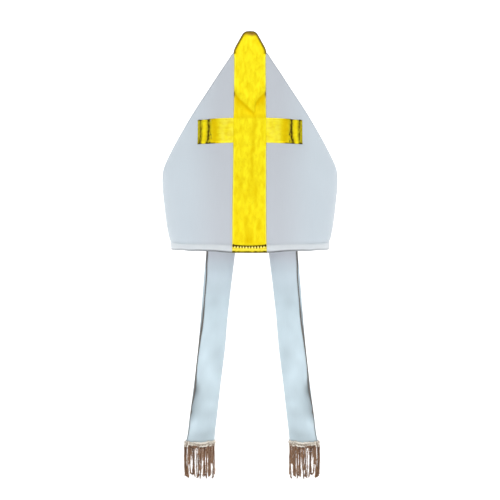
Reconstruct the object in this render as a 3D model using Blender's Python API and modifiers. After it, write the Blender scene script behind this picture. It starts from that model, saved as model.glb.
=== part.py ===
"""Bishop mitre: two stiff satin shields, a gold foil Latin cross and two fringed lappets.

Metres, +Z up. The origin is the middle of the head opening, in the plane of the hem.
The front faces -Y. Left and right are as seen from the front, so left is -X.
"""

import math
import random
from collections import namedtuple

import bmesh
import bpy

# Fabric
WALL = 0.0020            # stiffened double fabric of the shields
FOIL = 0.0010            # gold strip with its turned edges
GAP = 0.0003             # between neighbouring pieces
INSIDE_GAP = 0.0010      # the same behind a curved wall, whose flat facets stand inward

# Hem of the shields
HEM_HEIGHT = 0.0114
HEM_PUFF = 0.0009        # how far the turned hem stands proud

# Trim of the side seams: a box past the middle plane, up to just above the seam
TRIM_REACH = 0.180
TRIM_DEPTH = 0.020
TRIM_TOP = 0.125

# Each shield, hem to peak: widths and depths of its outer face.
# edge_depth is the distance of the side edge from the middle plane; below zero the
# edge runs past the plane and is trimmed there, which makes the side seam.
# roundness 1 is an elliptical section, 0 a parabolic one.
Section = namedtuple("Section", "height half_width middle_depth edge_depth roundness")
SHIELD_SECTIONS = (
    Section(0.000, 0.1185, 0.0680, -0.0006, 0.85),
    Section(0.014, 0.1221, 0.0672, -0.0006, 0.84),
    Section(0.042, 0.1266, 0.0655, -0.0006, 0.80),
    Section(0.070, 0.1303, 0.0631, -0.0006, 0.74),
    Section(0.098, 0.1328, 0.0593, -0.0006, 0.65),
    Section(0.112, 0.1326, 0.0568, 0.0008, 0.59),
    Section(0.125, 0.1303, 0.0542, 0.0028, 0.52),
    Section(0.143, 0.1223, 0.0506, 0.0054, 0.42),
    Section(0.170, 0.1078, 0.0450, 0.0086, 0.28),
    Section(0.206, 0.0866, 0.0378, 0.0118, 0.12),
    Section(0.242, 0.0630, 0.0305, 0.0136, 0.03),
    Section(0.278, 0.0394, 0.0234, 0.0139, 0.00),
    Section(0.305, 0.0226, 0.0180, 0.0131, 0.00),
    Section(0.322, 0.0126, 0.0145, 0.0122, 0.00),
    Section(0.328, 0.0091, 0.0133, 0.0120, 0.00),
    Section(0.331, 0.0052, 0.0127, 0.0120, 0.00),
)
PEAK = SHIELD_SECTIONS[-1].height
SHIELD_COLUMNS = 26
NEAR_EDGE = 0.995        # share of the half width past which a slope isn't read
SLOPE_STEP = 0.0005      # length over which a slope is read
HEM_ROWS = (0.0, 0.0013, 0.0057, 0.0101, 0.0116)
SHIELD_ROWS = (0.028, 0.048, 0.068, 0.088, 0.102, 0.114, 0.126, 0.140, 0.158, 0.178,
               0.200, 0.222, 0.244, 0.264, 0.279, 0.290, 0.298)
PEAK_ROWS = (0.308, 0.316, 0.323, 0.328, PEAK)

# Gold cross
UPRIGHT_HALF_AT_HEM = 0.0253
UPRIGHT_HALF_AT_PEAK = 0.0233
UPRIGHT_OVERHANG = 0.0010  # how far it stands out past the shield's slanting edges
UPRIGHT_FLARE = 0.0028     # how much it widens where it turns over those edges
FLARE_START = 0.290
FLARE_END = 0.298
UPRIGHT_RETURN = 0.0085  # how far the upright runs up inside the hem
UPRIGHT_COLUMNS = 8
BAR_HALF_SPAN = 0.0787
BAR_BOTTOM = 0.1626
BAR_TOP = 0.1996
BAR_END_TAPER = 0.0002   # the bar narrows by this at each edge of its ends
BAR_END_DROOP = 0.0021   # its ends lie lower, as on a straight strip round a leaning wall
BAR_COLUMNS = 20
BAR_ROWS = 5
LAP_RAMP = 0.0060        # length over which the upright climbs onto the bar
LAP_FLAT = 0.0010        # how far it stays lifted past the bar's edge
LAP_CLEAR = 0.0100       # no plain row of the upright this near the bar

# Lappets: edges of each one, as distances from the middle line of the pair
PAIR_ASIDE = 0.0031      # the pair is sewn this far right of the mitre's middle
LappetSection = namedtuple("LappetSection", "height outer inner")
LAPPET_SECTIONS = (
    LappetSection(0.014, 0.0706, 0.0236),
    LappetSection(-0.012, 0.0723, 0.0266),
    LappetSection(-0.062, 0.0768, 0.0328),
    LappetSection(-0.113, 0.0808, 0.0385),
    LappetSection(-0.164, 0.0856, 0.0429),
    LappetSection(-0.215, 0.0915, 0.0493),
    LappetSection(-0.267, 0.0984, 0.0552),
    LappetSection(-0.297, 0.1022, 0.0587),
    LappetSection(-0.314, 0.1060, 0.0600),
)
LAPPET_TOP = LAPPET_SECTIONS[0].height
LAPPET_END = LAPPET_SECTIONS[-1].height
LAPPET_THICKNESS = 0.0024
LAPPET_COLUMNS = 6
LAPPET_ROWS = 26
LAPPET_DEPTH = 0.0570    # its middle plane below the hem
LAPPET_TURN = 0.12       # how much nearer its outer edge is, per metre of width
LAPPET_SETTLE = 0.070    # length over which it leaves the curve of the hem
END_BOW = 0.0040         # sag of the lappet's lower edge and of the fringe head
END_BOW_REACH = 0.050    # length of the lappet over which that sag grows
DENT_WIDTH = 0.4         # reach of a dent across the lappet, as a share of its width

# Soft dents of the lappets: middle height, place across (0 outer, 1 inner), depth, reach
Dent = namedtuple("Dent", "height across depth reach")
LAPPET_DENTS = (
    Dent(-0.080, 0.65, 0.0010, 0.030),
    Dent(-0.150, 0.30, -0.0012, 0.034),
    Dent(-0.205, 0.75, 0.0012, 0.028),
    Dent(-0.248, 0.15, 0.0026, 0.022),
    Dent(-0.285, 0.70, -0.0010, 0.020),
)

# Fringe
HEAD_OUTER = 0.1080      # ends of the gimp head, as distances from the pair's middle line
HEAD_INNER = 0.0586
HEAD_TOP = -0.3090
HEAD_HEIGHT = 0.0105
HEAD_THICKNESS = 0.0056
HEAD_COLUMNS = 10
SLOT_MARGIN = 0.0004     # clearance round the lappet's end in the head
SLOT_LENGTH = 0.020
SLOT_ROWS = 4
LOCK_COUNT = 12
LOCK_RADIUS = 0.0017
LOCK_END_RADIUS = 0.0009
LOCK_LENGTH = 0.0490
LOCK_LENGTH_SPREAD = 0.0045
LOCK_DRIFT = 0.0010      # sideways wander of a lock's end
LOCK_POINTS = 5
LOCK_ROOT = 0.7          # depth of a lock's root in the head, as a share of its height
LOCK_INSET = 0.03        # room at each end of the head, as a share of its width
LOCK_SEED = 11
WELD_DISTANCE = 0.000001

SATIN_WHITE = (0.62, 0.69, 0.76, 1.0)
GOLD_FOIL = (0.92, 0.72, 0.02, 1.0)
FRINGE_BROWN = (0.27, 0.17, 0.10, 1.0)


# ---------------------------------------------------------------- curves and surfaces

def read_table(rows, height, column):
    """Value of a column at a height: a smooth curve through the rows."""
    descending = rows[0].height > rows[-1].height
    ordered = rows[::-1] if descending else rows
    height = min(max(height, ordered[0].height), ordered[-1].height)
    index = 0
    while index < len(ordered) - 2 and ordered[index + 1].height < height:
        index += 1

    def slope(i):
        low = ordered[max(i - 1, 0)]
        high = ordered[min(i + 1, len(ordered) - 1)]
        return (getattr(high, column) - getattr(low, column)) / (high.height - low.height)

    start, end = ordered[index], ordered[index + 1]
    run = end.height - start.height
    t = (height - start.height) / run
    a, b = getattr(start, column), getattr(end, column)
    return ((2 * t**3 - 3 * t**2 + 1) * a + (t**3 - 2 * t**2 + t) * run * slope(index)
            + (3 * t**2 - 2 * t**3) * b + (t**3 - t**2) * run * slope(index + 1))


def smooth_step(low, high, value):
    """0 below low, 1 above high, smooth between."""
    t = min(max((value - low) / (high - low), 0.0), 1.0)
    return t * t * (3 - 2 * t)


def shield_depth(across, height):
    """Distance of a shield's outer face from the middle plane.

    across is 0 at the middle of the shield and 1 at its side edge.
    """
    middle = read_table(SHIELD_SECTIONS, height, "middle_depth")
    edge = read_table(SHIELD_SECTIONS, height, "edge_depth")
    roundness = read_table(SHIELD_SECTIONS, height, "roundness")
    square = min(across * across, 1.0)
    bow = (1 - roundness) * (1 - square) + roundness * math.sqrt(1 - square)
    return edge + (middle - edge) * bow


def hem_puff(height):
    """How far the turned hem stands proud of the shield at a height."""
    if not 0.0 <= height < HEM_HEIGHT:
        return 0.0
    return HEM_PUFF * math.sqrt(math.sin(math.pi * height / HEM_HEIGHT))


def shield_face(x, height, offset=0.0, puffed=True):
    """A point of a shield's outer face, as (x, depth, z), moved outward by offset."""
    half = read_table(SHIELD_SECTIONS, height, "half_width")
    step = SLOPE_STEP
    near_edge = half * NEAR_EDGE
    x_flat = min(max(x, -near_edge), near_edge)

    def depth(x_at, height_at):
        return shield_depth(x_at / read_table(SHIELD_SECTIONS, height_at, "half_width"),
                            height_at)

    slope_x = (depth(x_flat + step, height) - depth(x_flat - step, height)) / (2 * step)
    low = max(height - step, 0.0)
    high = min(height + step, PEAK)
    slope_z = (depth(x_flat, high) - depth(x_flat, low)) / (high - low)
    length = math.sqrt(slope_x**2 + 1.0 + slope_z**2)
    out = offset + (hem_puff(height) if puffed else 0.0)
    return (x - slope_x / length * out,
            depth(x, height) + out / length,
            height - slope_z / length * out)


# ---------------------------------------------------------------- objects

def make_material(name, colour, roughness, metallic=0.0):
    """A Principled material in one colour."""
    material = bpy.data.materials.new(name)
    material.use_nodes = True
    shader = material.node_tree.nodes["Principled BSDF"]
    shader.inputs["Base Color"].default_value = colour
    shader.inputs["Roughness"].default_value = roughness
    shader.inputs["Metallic"].default_value = metallic
    return material


def make_collection(name):
    """A new collection in the scene."""
    collection = bpy.data.collections.new(name)
    bpy.context.scene.collection.children.link(collection)
    return collection


def surface_object(name, rows, collection, flip=False):
    """An open surface through rows of points, all rows of one length."""
    mesh_builder = bmesh.new()
    grid = [[mesh_builder.verts.new(point) for point in row] for row in rows]
    for lower, upper in zip(grid, grid[1:]):
        for i in range(len(lower) - 1):
            corners = [lower[i], lower[i + 1], upper[i + 1], upper[i]]
            mesh_builder.faces.new(corners[::-1] if flip else corners)
    mesh = bpy.data.meshes.new(name)
    mesh_builder.to_mesh(mesh)
    mesh_builder.free()
    mesh.shade_smooth()
    mesh.set_sharp_from_angle(angle=math.radians(40))
    piece = bpy.data.objects.new(name, mesh)
    collection.objects.link(piece)
    return piece


def thicken(piece, thickness, offset):
    """Solidify: offset -1 grows behind the face normals, 1 in front, 0 both ways."""
    solidify = piece.modifiers.new("thickness", "SOLIDIFY")
    solidify.thickness = thickness
    solidify.offset = offset
    solidify.use_even_offset = True
    return solidify


def combine(piece, other, operation):
    """An exact Boolean of a piece with another object."""
    boolean = piece.modifiers.new(operation.lower(), "BOOLEAN")
    boolean.operation = operation
    boolean.solver = "EXACT"
    boolean.object = other


def mark_as_cutter(cutter):
    """Shown as wire and left out of renders."""
    cutter.hide_render = True
    cutter.display_type = "WIRE"


def box_cutter(name, low, high, collection):
    """A box between two corners."""
    size = [b - a for a, b in zip(low, high)]
    middle = [(a + b) / 2 for a, b in zip(low, high)]
    bpy.ops.mesh.primitive_cube_add(size=1.0, location=middle)
    cutter = bpy.context.active_object
    cutter.name = name
    cutter.scale = size
    bpy.context.collection.objects.unlink(cutter)
    collection.objects.link(cutter)
    mark_as_cutter(cutter)
    return cutter


# ---------------------------------------------------------------- shields

def make_shield(name, facing, parts, cutters):
    """One shield. facing is -1 at the front and 1 at the back."""
    heights = HEM_ROWS + SHIELD_ROWS + PEAK_ROWS
    rows = []
    for height in heights:
        half = read_table(SHIELD_SECTIONS, height, "half_width")
        row = []
        for i in range(SHIELD_COLUMNS + 1):
            across = math.sin(math.radians(90) * (2 * i / SHIELD_COLUMNS - 1))
            x, depth, z = shield_face(half * across, height)
            row.append((x, facing * depth, z))
        rows.append(row)
    shield = surface_object(name, rows, parts, flip=facing > 0)
    solidify = thicken(shield, WALL + HEM_PUFF, -1)
    hem = shield.vertex_groups.new(name="hem")
    for j, height in enumerate(heights):
        in_row = range(j * (SHIELD_COLUMNS + 1), (j + 1) * (SHIELD_COLUMNS + 1))
        hem.add(list(in_row), hem_puff(height) / HEM_PUFF, "REPLACE")
    solidify.vertex_group = "hem"
    solidify.thickness_vertex_group = WALL / (WALL + HEM_PUFF)

    near, far = sorted((-facing * TRIM_DEPTH, facing * GAP / 2))
    trim = box_cutter(name + "_seam_trim", (-TRIM_REACH, near, -TRIM_DEPTH),
                      (TRIM_REACH, far, TRIM_TOP), cutters)
    combine(shield, trim, "DIFFERENCE")
    shield.data.materials.append(make_material(name + "_satin", SATIN_WHITE, 0.45))
    return shield


# ---------------------------------------------------------------- gold cross

def upright_half(height):
    """Half width of the upright: its own taper, or the peak's outline where narrower."""
    share = min(max(height, 0.0) / PEAK, 1.0)
    strip = UPRIGHT_HALF_AT_HEM + share * (UPRIGHT_HALF_AT_PEAK - UPRIGHT_HALF_AT_HEM)
    strip += UPRIGHT_FLARE * smooth_step(FLARE_START, FLARE_END, height)
    return min(strip, read_table(SHIELD_SECTIONS, height, "half_width") + UPRIGHT_OVERHANG)


def upright_lift(height):
    """Clear distance of the upright from the shield: more where it laps the bar."""
    climb = smooth_step(BAR_BOTTOM - LAP_FLAT - LAP_RAMP, BAR_BOTTOM - LAP_FLAT, height)
    descend = smooth_step(BAR_TOP + LAP_FLAT, BAR_TOP + LAP_FLAT + LAP_RAMP, height)
    return GAP + (FOIL + GAP) * (climb - descend)


def make_cross_upright(parts):
    """The strip from inside the hem, round under it and up to the peak."""
    lap_rows = []
    for edge, direction in ((BAR_BOTTOM, -1), (BAR_TOP, 1)):
        for share in (0.0, 0.5, 1.0):
            lap_rows.append(edge + direction * (LAP_FLAT + share * LAP_RAMP))
    plain_rows = [height for height in SHIELD_ROWS
                  if not BAR_BOTTOM - LAP_CLEAR < height < BAR_TOP + LAP_CLEAR]
    middle_row = (BAR_BOTTOM + BAR_TOP) / 2
    outside = sorted(HEM_ROWS[1:] + tuple(plain_rows) + PEAK_ROWS + tuple(lap_rows)
                     + (middle_row,))

    def row_at(height, z, offset, puffed=True):
        half = upright_half(height)
        row = []
        for i in range(UPRIGHT_COLUMNS + 1):
            x = half * (2 * i / UPRIGHT_COLUMNS - 1)
            x, depth, z_face = shield_face(x, height, offset, puffed)
            row.append((x, -depth, z_face if z is None else z))
        return row

    inside = -(WALL + INSIDE_GAP)
    rows = [row_at(UPRIGHT_RETURN, None, inside, False),
            row_at(UPRIGHT_RETURN / 2, None, inside, False),
            row_at(0.0, -GAP, inside, False),
            row_at(0.0, -GAP, GAP)]
    rows += [row_at(height, None, upright_lift(height)) for height in outside]
    upright = surface_object("cross_upright", rows, parts)
    thicken(upright, FOIL, 1)
    upright.data.materials.append(make_material("cross_upright_foil", GOLD_FOIL, 0.22, 1.0))


def make_cross_bar(parts):
    """The strip across the front, close on the shield."""
    rows = []
    for j in range(BAR_ROWS + 1):
        row = []
        for i in range(BAR_COLUMNS + 1):
            along = 2 * i / BAR_COLUMNS - 1
            taper = BAR_END_TAPER * along * along
            height = BAR_BOTTOM + taper + j / BAR_ROWS * (BAR_TOP - BAR_BOTTOM - 2 * taper)
            height -= BAR_END_DROOP * along * along
            x, depth, z = shield_face(along * BAR_HALF_SPAN, height, GAP)
            row.append((x, -depth, z))
        rows.append(row)
    bar = surface_object("cross_bar", rows, parts)
    thicken(bar, FOIL, 1)
    bar.data.materials.append(make_material("cross_bar_foil", GOLD_FOIL, 0.22, 1.0))


# ---------------------------------------------------------------- lappets and fringes

def lappet_depth(side, distance, height, across):
    """Depth of a lappet's middle layer: along the back hem, then a hanging band.

    side is -1 for the left lappet. across is 0 at the outer edge and 1 at the inner one.
    """
    x, wall, _ = shield_face(PAIR_ASIDE + side * distance, max(height, 0.0),
                             -(WALL + INSIDE_GAP + LAPPET_THICKNESS / 2), False)
    middle = (read_table(LAPPET_SECTIONS, height, "outer")
              + read_table(LAPPET_SECTIONS, height, "inner")) / 2
    hanging = LAPPET_DEPTH - LAPPET_TURN * (distance - middle)
    for dent in LAPPET_DENTS:
        far = ((height - dent.height) / dent.reach)**2 + ((across - dent.across) / DENT_WIDTH)**2
        hanging += dent.depth * math.exp(-far)
    away = smooth_step(0.0, LAPPET_SETTLE, -height)
    return (1 - away) * wall + away * hanging


def lappet_rows(side, first, last, count, widen=0.0):
    """Rows of points over a lappet's middle layer between two heights."""
    rows = []
    for j in range(count + 1):
        height = first + (last - first) * j / count
        outer = read_table(LAPPET_SECTIONS, height, "outer") + widen
        inner = read_table(LAPPET_SECTIONS, height, "inner") - widen
        row = []
        for i in range(LAPPET_COLUMNS + 1):
            across = i / LAPPET_COLUMNS
            distance = outer + (inner - outer) * across
            depth = lappet_depth(side, distance, height, across)
            row.append((PAIR_ASIDE + side * distance, depth,
                        height - end_sag(across, height)))
        rows.append(row)
    return rows


def end_sag(across, height):
    """Sag of the lappet's lower end, growing over its last stretch."""
    near_end = smooth_step(-LAPPET_END - END_BOW_REACH, -LAPPET_END, -height)
    return END_BOW * near_end * (1 - (2 * across - 1)**2)


def make_lappet(name, side, parts):
    """One lappet, a double band. side is -1 for the left one."""
    rows = lappet_rows(side, LAPPET_TOP, LAPPET_END, LAPPET_ROWS)
    lappet = surface_object(name, rows, parts, flip=side < 0)
    thicken(lappet, LAPPET_THICKNESS, 0)
    lappet.data.materials.append(make_material(name + "_satin", SATIN_WHITE, 0.45))


def head_point(side, along, down):
    """A point of the gimp head's middle layer. along is 0 outside and 1 inside."""
    distance = HEAD_OUTER + (HEAD_INNER - HEAD_OUTER) * along
    depth = lappet_depth(side, distance, LAPPET_END, along)
    sag = END_BOW * (1 - (2 * along - 1)**2)
    return (PAIR_ASIDE + side * distance, depth, HEAD_TOP - sag - down)


def make_locks(name, side, cutters):
    """All locks of one fringe as one mesh of separate tapering strips."""
    draw = random.Random(LOCK_SEED)
    curve = bpy.data.curves.new(name, "CURVE")
    curve.dimensions = "3D"
    curve.bevel_depth = 1.0
    curve.bevel_resolution = 1
    curve.use_fill_caps = True
    for i in range(LOCK_COUNT):
        along = LOCK_INSET + (1 - 2 * LOCK_INSET) * (i + 0.5) / LOCK_COUNT
        x, y, top = head_point(side, along, HEAD_HEIGHT * LOCK_ROOT)
        length = LOCK_LENGTH + draw.uniform(-1, 1) * LOCK_LENGTH_SPREAD
        drift = draw.uniform(-1, 1) * LOCK_DRIFT
        spline = curve.splines.new("POLY")
        spline.points.add(LOCK_POINTS - 1)
        for j, point in enumerate(spline.points):
            share = j / (LOCK_POINTS - 1)
            swing = drift * share * share
            point.co = (x + swing, y + 0.5 * swing, top - length * share, 1.0)
            point.radius = LOCK_RADIUS + (LOCK_END_RADIUS - LOCK_RADIUS) * share**3
    outline = bpy.data.objects.new(name + "_curve", curve)
    cutters.objects.link(outline)
    evaluated = outline.evaluated_get(bpy.context.evaluated_depsgraph_get())
    mesh = bpy.data.meshes.new_from_object(evaluated)
    bpy.data.objects.remove(outline)

    weld = bmesh.new()
    weld.from_mesh(mesh)
    bmesh.ops.remove_doubles(weld, verts=weld.verts, dist=WELD_DISTANCE)
    bmesh.ops.recalc_face_normals(weld, faces=weld.faces)
    weld.to_mesh(mesh)
    weld.free()
    locks = bpy.data.objects.new(name, mesh)
    cutters.objects.link(locks)
    mark_as_cutter(locks)
    return locks


def make_fringe(name, side, parts, cutters):
    """The gimp head, folded over the lappet's end, with its locks fused to it."""
    rows = []
    for down in (0.0, HEAD_HEIGHT / 2, HEAD_HEIGHT):
        rows.append([head_point(side, i / HEAD_COLUMNS, down)
                     for i in range(HEAD_COLUMNS + 1)])
    fringe = surface_object(name, rows, parts, flip=side < 0)
    thicken(fringe, HEAD_THICKNESS, 0)

    slot_rows = lappet_rows(side, LAPPET_END + SLOT_LENGTH, LAPPET_END - SLOT_MARGIN,
                            SLOT_ROWS, SLOT_MARGIN)
    slot = surface_object(name + "_slot", slot_rows, cutters, flip=side < 0)
    thicken(slot, LAPPET_THICKNESS + 2 * SLOT_MARGIN, 0)
    mark_as_cutter(slot)
    combine(fringe, slot, "DIFFERENCE")
    combine(fringe, make_locks(name + "_locks", side, cutters), "UNION")
    fringe.data.materials.append(make_material(name + "_cord", FRINGE_BROWN, 0.8))


# ---------------------------------------------------------------- the whole mitre

def build_mitre():
    """Clear the scene and build every piece."""
    for old in list(bpy.data.objects):
        bpy.data.objects.remove(old)
    parts = make_collection("bishop_mitre")
    cutters = make_collection("cutters")
    make_shield("front_shield", -1, parts, cutters)
    make_shield("back_shield", 1, parts, cutters)
    make_cross_upright(parts)
    make_cross_bar(parts)
    for word, side in (("left", -1), ("right", 1)):
        make_lappet("lappet_" + word, side, parts)
        make_fringe("fringe_" + word, side, parts, cutters)


build_mitre()
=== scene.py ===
"""Bishop mitre in white satin and gold foil: shields with turned hems, a creased foil cross,
open-sided double lappets and twisted cord fringes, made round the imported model.

Metres, +Z up. The origin is the middle of the head opening, in the plane of the hem. The
front faces -Y. Left and right are as seen from the front.
"""

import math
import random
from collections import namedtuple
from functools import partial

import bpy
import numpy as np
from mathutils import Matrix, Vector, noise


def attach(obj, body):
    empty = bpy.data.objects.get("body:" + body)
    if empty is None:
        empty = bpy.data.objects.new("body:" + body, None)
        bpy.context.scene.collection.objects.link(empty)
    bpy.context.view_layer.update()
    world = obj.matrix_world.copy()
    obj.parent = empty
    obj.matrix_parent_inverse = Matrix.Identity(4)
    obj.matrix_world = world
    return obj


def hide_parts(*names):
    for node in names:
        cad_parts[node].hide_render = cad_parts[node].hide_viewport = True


bl_info = {
    "name": "Bishop Mitre Dressing",
    "version": (1, 0, 0),
    "blender": (4, 5, 0),
    "location": "3D View > Sidebar > Mitre",
    "description": "Dresses the packed mitre in satin, gold foil, gimp and cord",
    "category": "Object",
}

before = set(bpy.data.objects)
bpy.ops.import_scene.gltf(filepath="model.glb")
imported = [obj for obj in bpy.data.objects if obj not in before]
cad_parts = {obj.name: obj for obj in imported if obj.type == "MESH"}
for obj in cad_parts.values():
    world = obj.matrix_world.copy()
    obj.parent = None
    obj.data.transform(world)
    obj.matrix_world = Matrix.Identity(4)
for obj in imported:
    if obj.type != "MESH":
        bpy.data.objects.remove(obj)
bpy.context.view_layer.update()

BODY = "root"
SIDES = (("left", -1), ("right", 1))

# ---------------------------------------------------------------- form of the mitre

def table(fields, lengths, rows):
    """Rows with named values. The first of them, as many as lengths says, are millimetres."""
    row_type = namedtuple("Row", fields)
    return [row_type(*(value / 1000 for value in row[:lengths]), *row[lengths:])
            for row in rows]


# The outer face of each shield, hem to peak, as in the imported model.
SHIELD_SECTIONS = table("height half_width middle_depth edge_depth roundness", 4, (
    (0, 118.5, 68, -0.6, 0.85), (14, 122.1, 67.2, -0.6, 0.84), (42, 126.6, 65.5, -0.6, 0.8),
    (70, 130.3, 63.1, -0.6, 0.74), (98, 132.8, 59.3, -0.6, 0.65), (112, 132.6, 56.8, 0.8, 0.59),
    (125, 130.3, 54.2, 2.8, 0.52), (143, 122.3, 50.6, 5.4, 0.42), (170, 107.8, 45, 8.6, 0.28),
    (206, 86.6, 37.8, 11.8, 0.12), (242, 63, 30.5, 13.6, 0.03), (278, 39.4, 23.4, 13.9, 0),
    (305, 22.6, 18, 13.1, 0), (322, 12.6, 14.5, 12.2, 0), (328, 9.1, 13.3, 12, 0),
    (331, 5.2, 12.7, 12, 0)))
PEAK = SHIELD_SECTIONS[-1].height
WALL = 0.002
HEM_HEIGHT = 0.0114
HEM_PUFF = 0.001

# Outline of the gold peak from the front, where the foil turns over the slanting edges.
PEAK_EDGES = table("height half_width", 2, (
    (296.6, 24.4), (298.8, 24.5), (301.5, 24), (304.5, 22.9), (307.5, 21.5), (310.5, 19.9),
    (316.5, 16.5), (322.6, 13.1), (325.4, 11.4), (327.6, 9.7), (329.2, 7.5), (330.1, 5.3)))
PEAK_TOP = 0.3304

# Shade along the hem's lower fold, and the lift of the line along its top, by share of the
# half width from the middle.
HEM_SHADE = ((0.25, 0.8), (0.36, 0.95), (0.46, 0.84), (0.57, 0.78), (0.65, 0.72), (0.77, 0.56),
             (0.9, 0.42), (1.0, 0.36))
HEM_LINE_LIFT = ((0.27, 0.0005), (0.36, 0.001), (0.46, 0.0013), (0.65, 0.0011), (0.77, 0.0005),
                 (0.9, 0.0))

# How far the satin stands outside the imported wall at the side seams, by height.
SIDE_EASE = ((0.0, 0.0018), (0.0015, 0.0017), (0.003, 0.001), (0.006, 0.0005), (0.009, 0.0),
             (0.012, -0.0003), (0.015, 0.0002), (0.018, 0.0007), (0.022, 0.0011),
             (0.036, 0.0014), (0.06, 0.001), (0.27, 0.0009), (0.292, 0.0))

# How far the hem's lower edge rises along its run, by share of the half width.
HEM_RISE = ((0.24, -0.0004), (0.295, -0.0001), (0.345, 0.0002), (0.39, 0.0007), (0.44, 0.0012),
            (0.55, 0.0013), (0.66, 0.0012), (0.72, 0.0007), (0.76, 0.0004), (0.81, 0.0009),
            (0.86, 0.0011), (0.93, 0.0004), (1.0, 0.0))

# Edges of each lappet, as distances from the middle line of the pair.
LAPPET_SECTIONS = table("height outer inner", 3, (
    (14, 70.6, 23.6), (-12, 72.3, 26.6), (-62, 76.8, 32.8), (-113, 80.8, 38.5),
    (-164, 85.6, 42.9), (-215, 91.5, 49.3), (-267, 98.4, 55.2), (-297, 102.2, 58.7),
    (-314, 106, 60)))
PAIR_ASIDE = 0.0031      # the pair is sewn this far right of the mitre's middle
LAPPET_TOP = LAPPET_SECTIONS[0].height
LAPPET_END = LAPPET_SECTIONS[-1].height
LAPPET_CLEAR = 0.0022    # from the inside of the back wall to the lappet's middle layer
LAPPET_DEPTH = 0.057
LAPPET_TURN = 0.12
LAPPET_SETTLE = 0.07
END_BOW = 0.0022
END_BOW_REACH = 0.05

# How far the front layer and the dark sheet between the layers stop short of the back layer's
# outer edge, and the painted shade on the strip of the back layer that shows there. The dark sheet
# paints the shadow in the gap between the layers.
OPEN_SIDES = table("height front core shade", 3, (
    (14, 2.4, 0.1, 0.7), (-8, 3, 0.4, 0.7), (-16, 3.2, 0.9, 0.5), (-27, 3.4, 1.4, 0.2),
    (-40, 4.4, 2.7, 0), (-56, 4.8, 3.2, 0.1), (-88, 4.5, 2.9, 0.1), (-97, 4.7, 2.8, 0.6),
    (-105, 4.8, 2.6, 0.9), (-118, 4.6, 2.2, 0.9), (-131, 4.1, 1.2, 0.9), (-143, 3.2, 0.4, 0.9),
    (-156, 2.6, 0.2, 0.8), (-170, 1.9, 0.1, 0.6), (-190, 1.8, 0.1, 0.6), (-205, 2.6, 0.4, 1),
    (-215, 3.6, 1.2, 1.3), (-231, 3.4, 1.4, 1.3), (-245, 2.5, 0.6, 0.8), (-257, 1.2, 0.1, 0.6),
    (-263, 2.4, 0.1, 0.8), (-270, 1.2, 0.2, 0.5), (-290, 1.7, 0.8, 0.4), (-314, 1.2, 1, 0.3)))

# Painted shadow of the hem above on the lappets, by height.
HEM_SHADOW = ((-0.107, 0.0), (-0.085, 0.05), (-0.06, 0.18), (-0.042, 0.32), (-0.028, 0.5),
            (-0.011, 1.0))

# Broad soft folds of a lappet: hollows push back and crowns come forward, and tone paints their
# shade into the colour below 0 and their light above 0. across is 0 at the outer edge and 1 at the
# inner one.
LAPPET_FOLDS = table("height reach_up rise across reach_across tone", 3, (
    (-46, 14, 0.2, 0.48, 0.45, 0.24), (-82, 18, 0.6, 0.92, 0.22, 0.12),
    (-88, 9, -0.6, 0.45, 0.3, -0.17), (-116, 16, 1, 0.24, 0.16, 0.17),
    (-118, 14, -0.8, 0.66, 0.15, -0.15), (-140, 8, 0.4, 0.48, 0.17, 0.12),
    (-169, 12, -1, 0.78, 0.2, -0.24), (-174, 12, 1.2, 0.27, 0.18, 0.18),
    (-190, 22, 0, 0.5, 1.2, -0.12), (-193, 10, -0.4, 0.92, 0.14, -0.14),
    (-197, 14, 1.2, 0.52, 0.19, 0.18), (-206, 8, 0.4, 0.68, 0.14, 0.1),
    (-228, 13, -1.6, 0.03, 0.18, -0.85), (-233, 15, -0.8, 0.62, 0.75, -0.2),
    (-250, 8, 0.6, 0.75, 0.22, 0.2), (-252, 14, -0.8, 0.24, 0.2, -0.4),
    (-258, 19, -1, 0.03, 0.12, -0.5), (-262, 24, 0, 0.6, 1.2, -0.2),
    (-267, 10, -0.4, 0.45, 0.42, -0.22), (-280, 7, 0.8, 0.15, 0.15, 0.24),
    (-296, 14, -0.6, 0.85, 0.34, -0.42), (-301, 9, -0.4, 0.42, 0.5, -0.46)))

# Gimp head of the fringe, as distances from the middle line of the pair.
HEAD_OUTER = 0.108
HEAD_INNER = 0.0586
HEAD_TOP = -0.309

# Gold cross.
BAR_HALF_SPAN = 0.0787
BAR_BOTTOM = 0.1631
BAR_TOP = 0.2002
BAR_END_DROOP = 0.0027
BAR_CORNER_CUT = 0.001  # how much lower the top edge runs over the turned-under ends
UPRIGHT_HALF_AT_HEM = 0.0255
UPRIGHT_HALF_AT_PEAK = 0.0233

# The strip lies a little left of the middle low down: its lean by height.
UPRIGHT_LEAN = ((0.0, -0.0008), (0.03, -0.0011), (0.08, -0.0011), (0.11, -0.0007),
                (0.16, -0.0004), (0.23, -0.0001))

# The V-shaped bend of the upright: the line where the foil above it ends its bright stretch.
BEND_LINE = ((-0.026, 0.244), (-0.02, 0.2372), (-0.0165, 0.2326), (-0.0135, 0.2296),
             (-0.0097, 0.226), (-0.0045, 0.2206), (0.0004, 0.216), (0.0046, 0.212),
             (0.0062, 0.2092), (0.0078, 0.22), (0.0089, 0.226), (0.0135, 0.2326),
             (0.018, 0.2372), (0.026, 0.244))
BEND_FOOT = 0.2005
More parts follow.
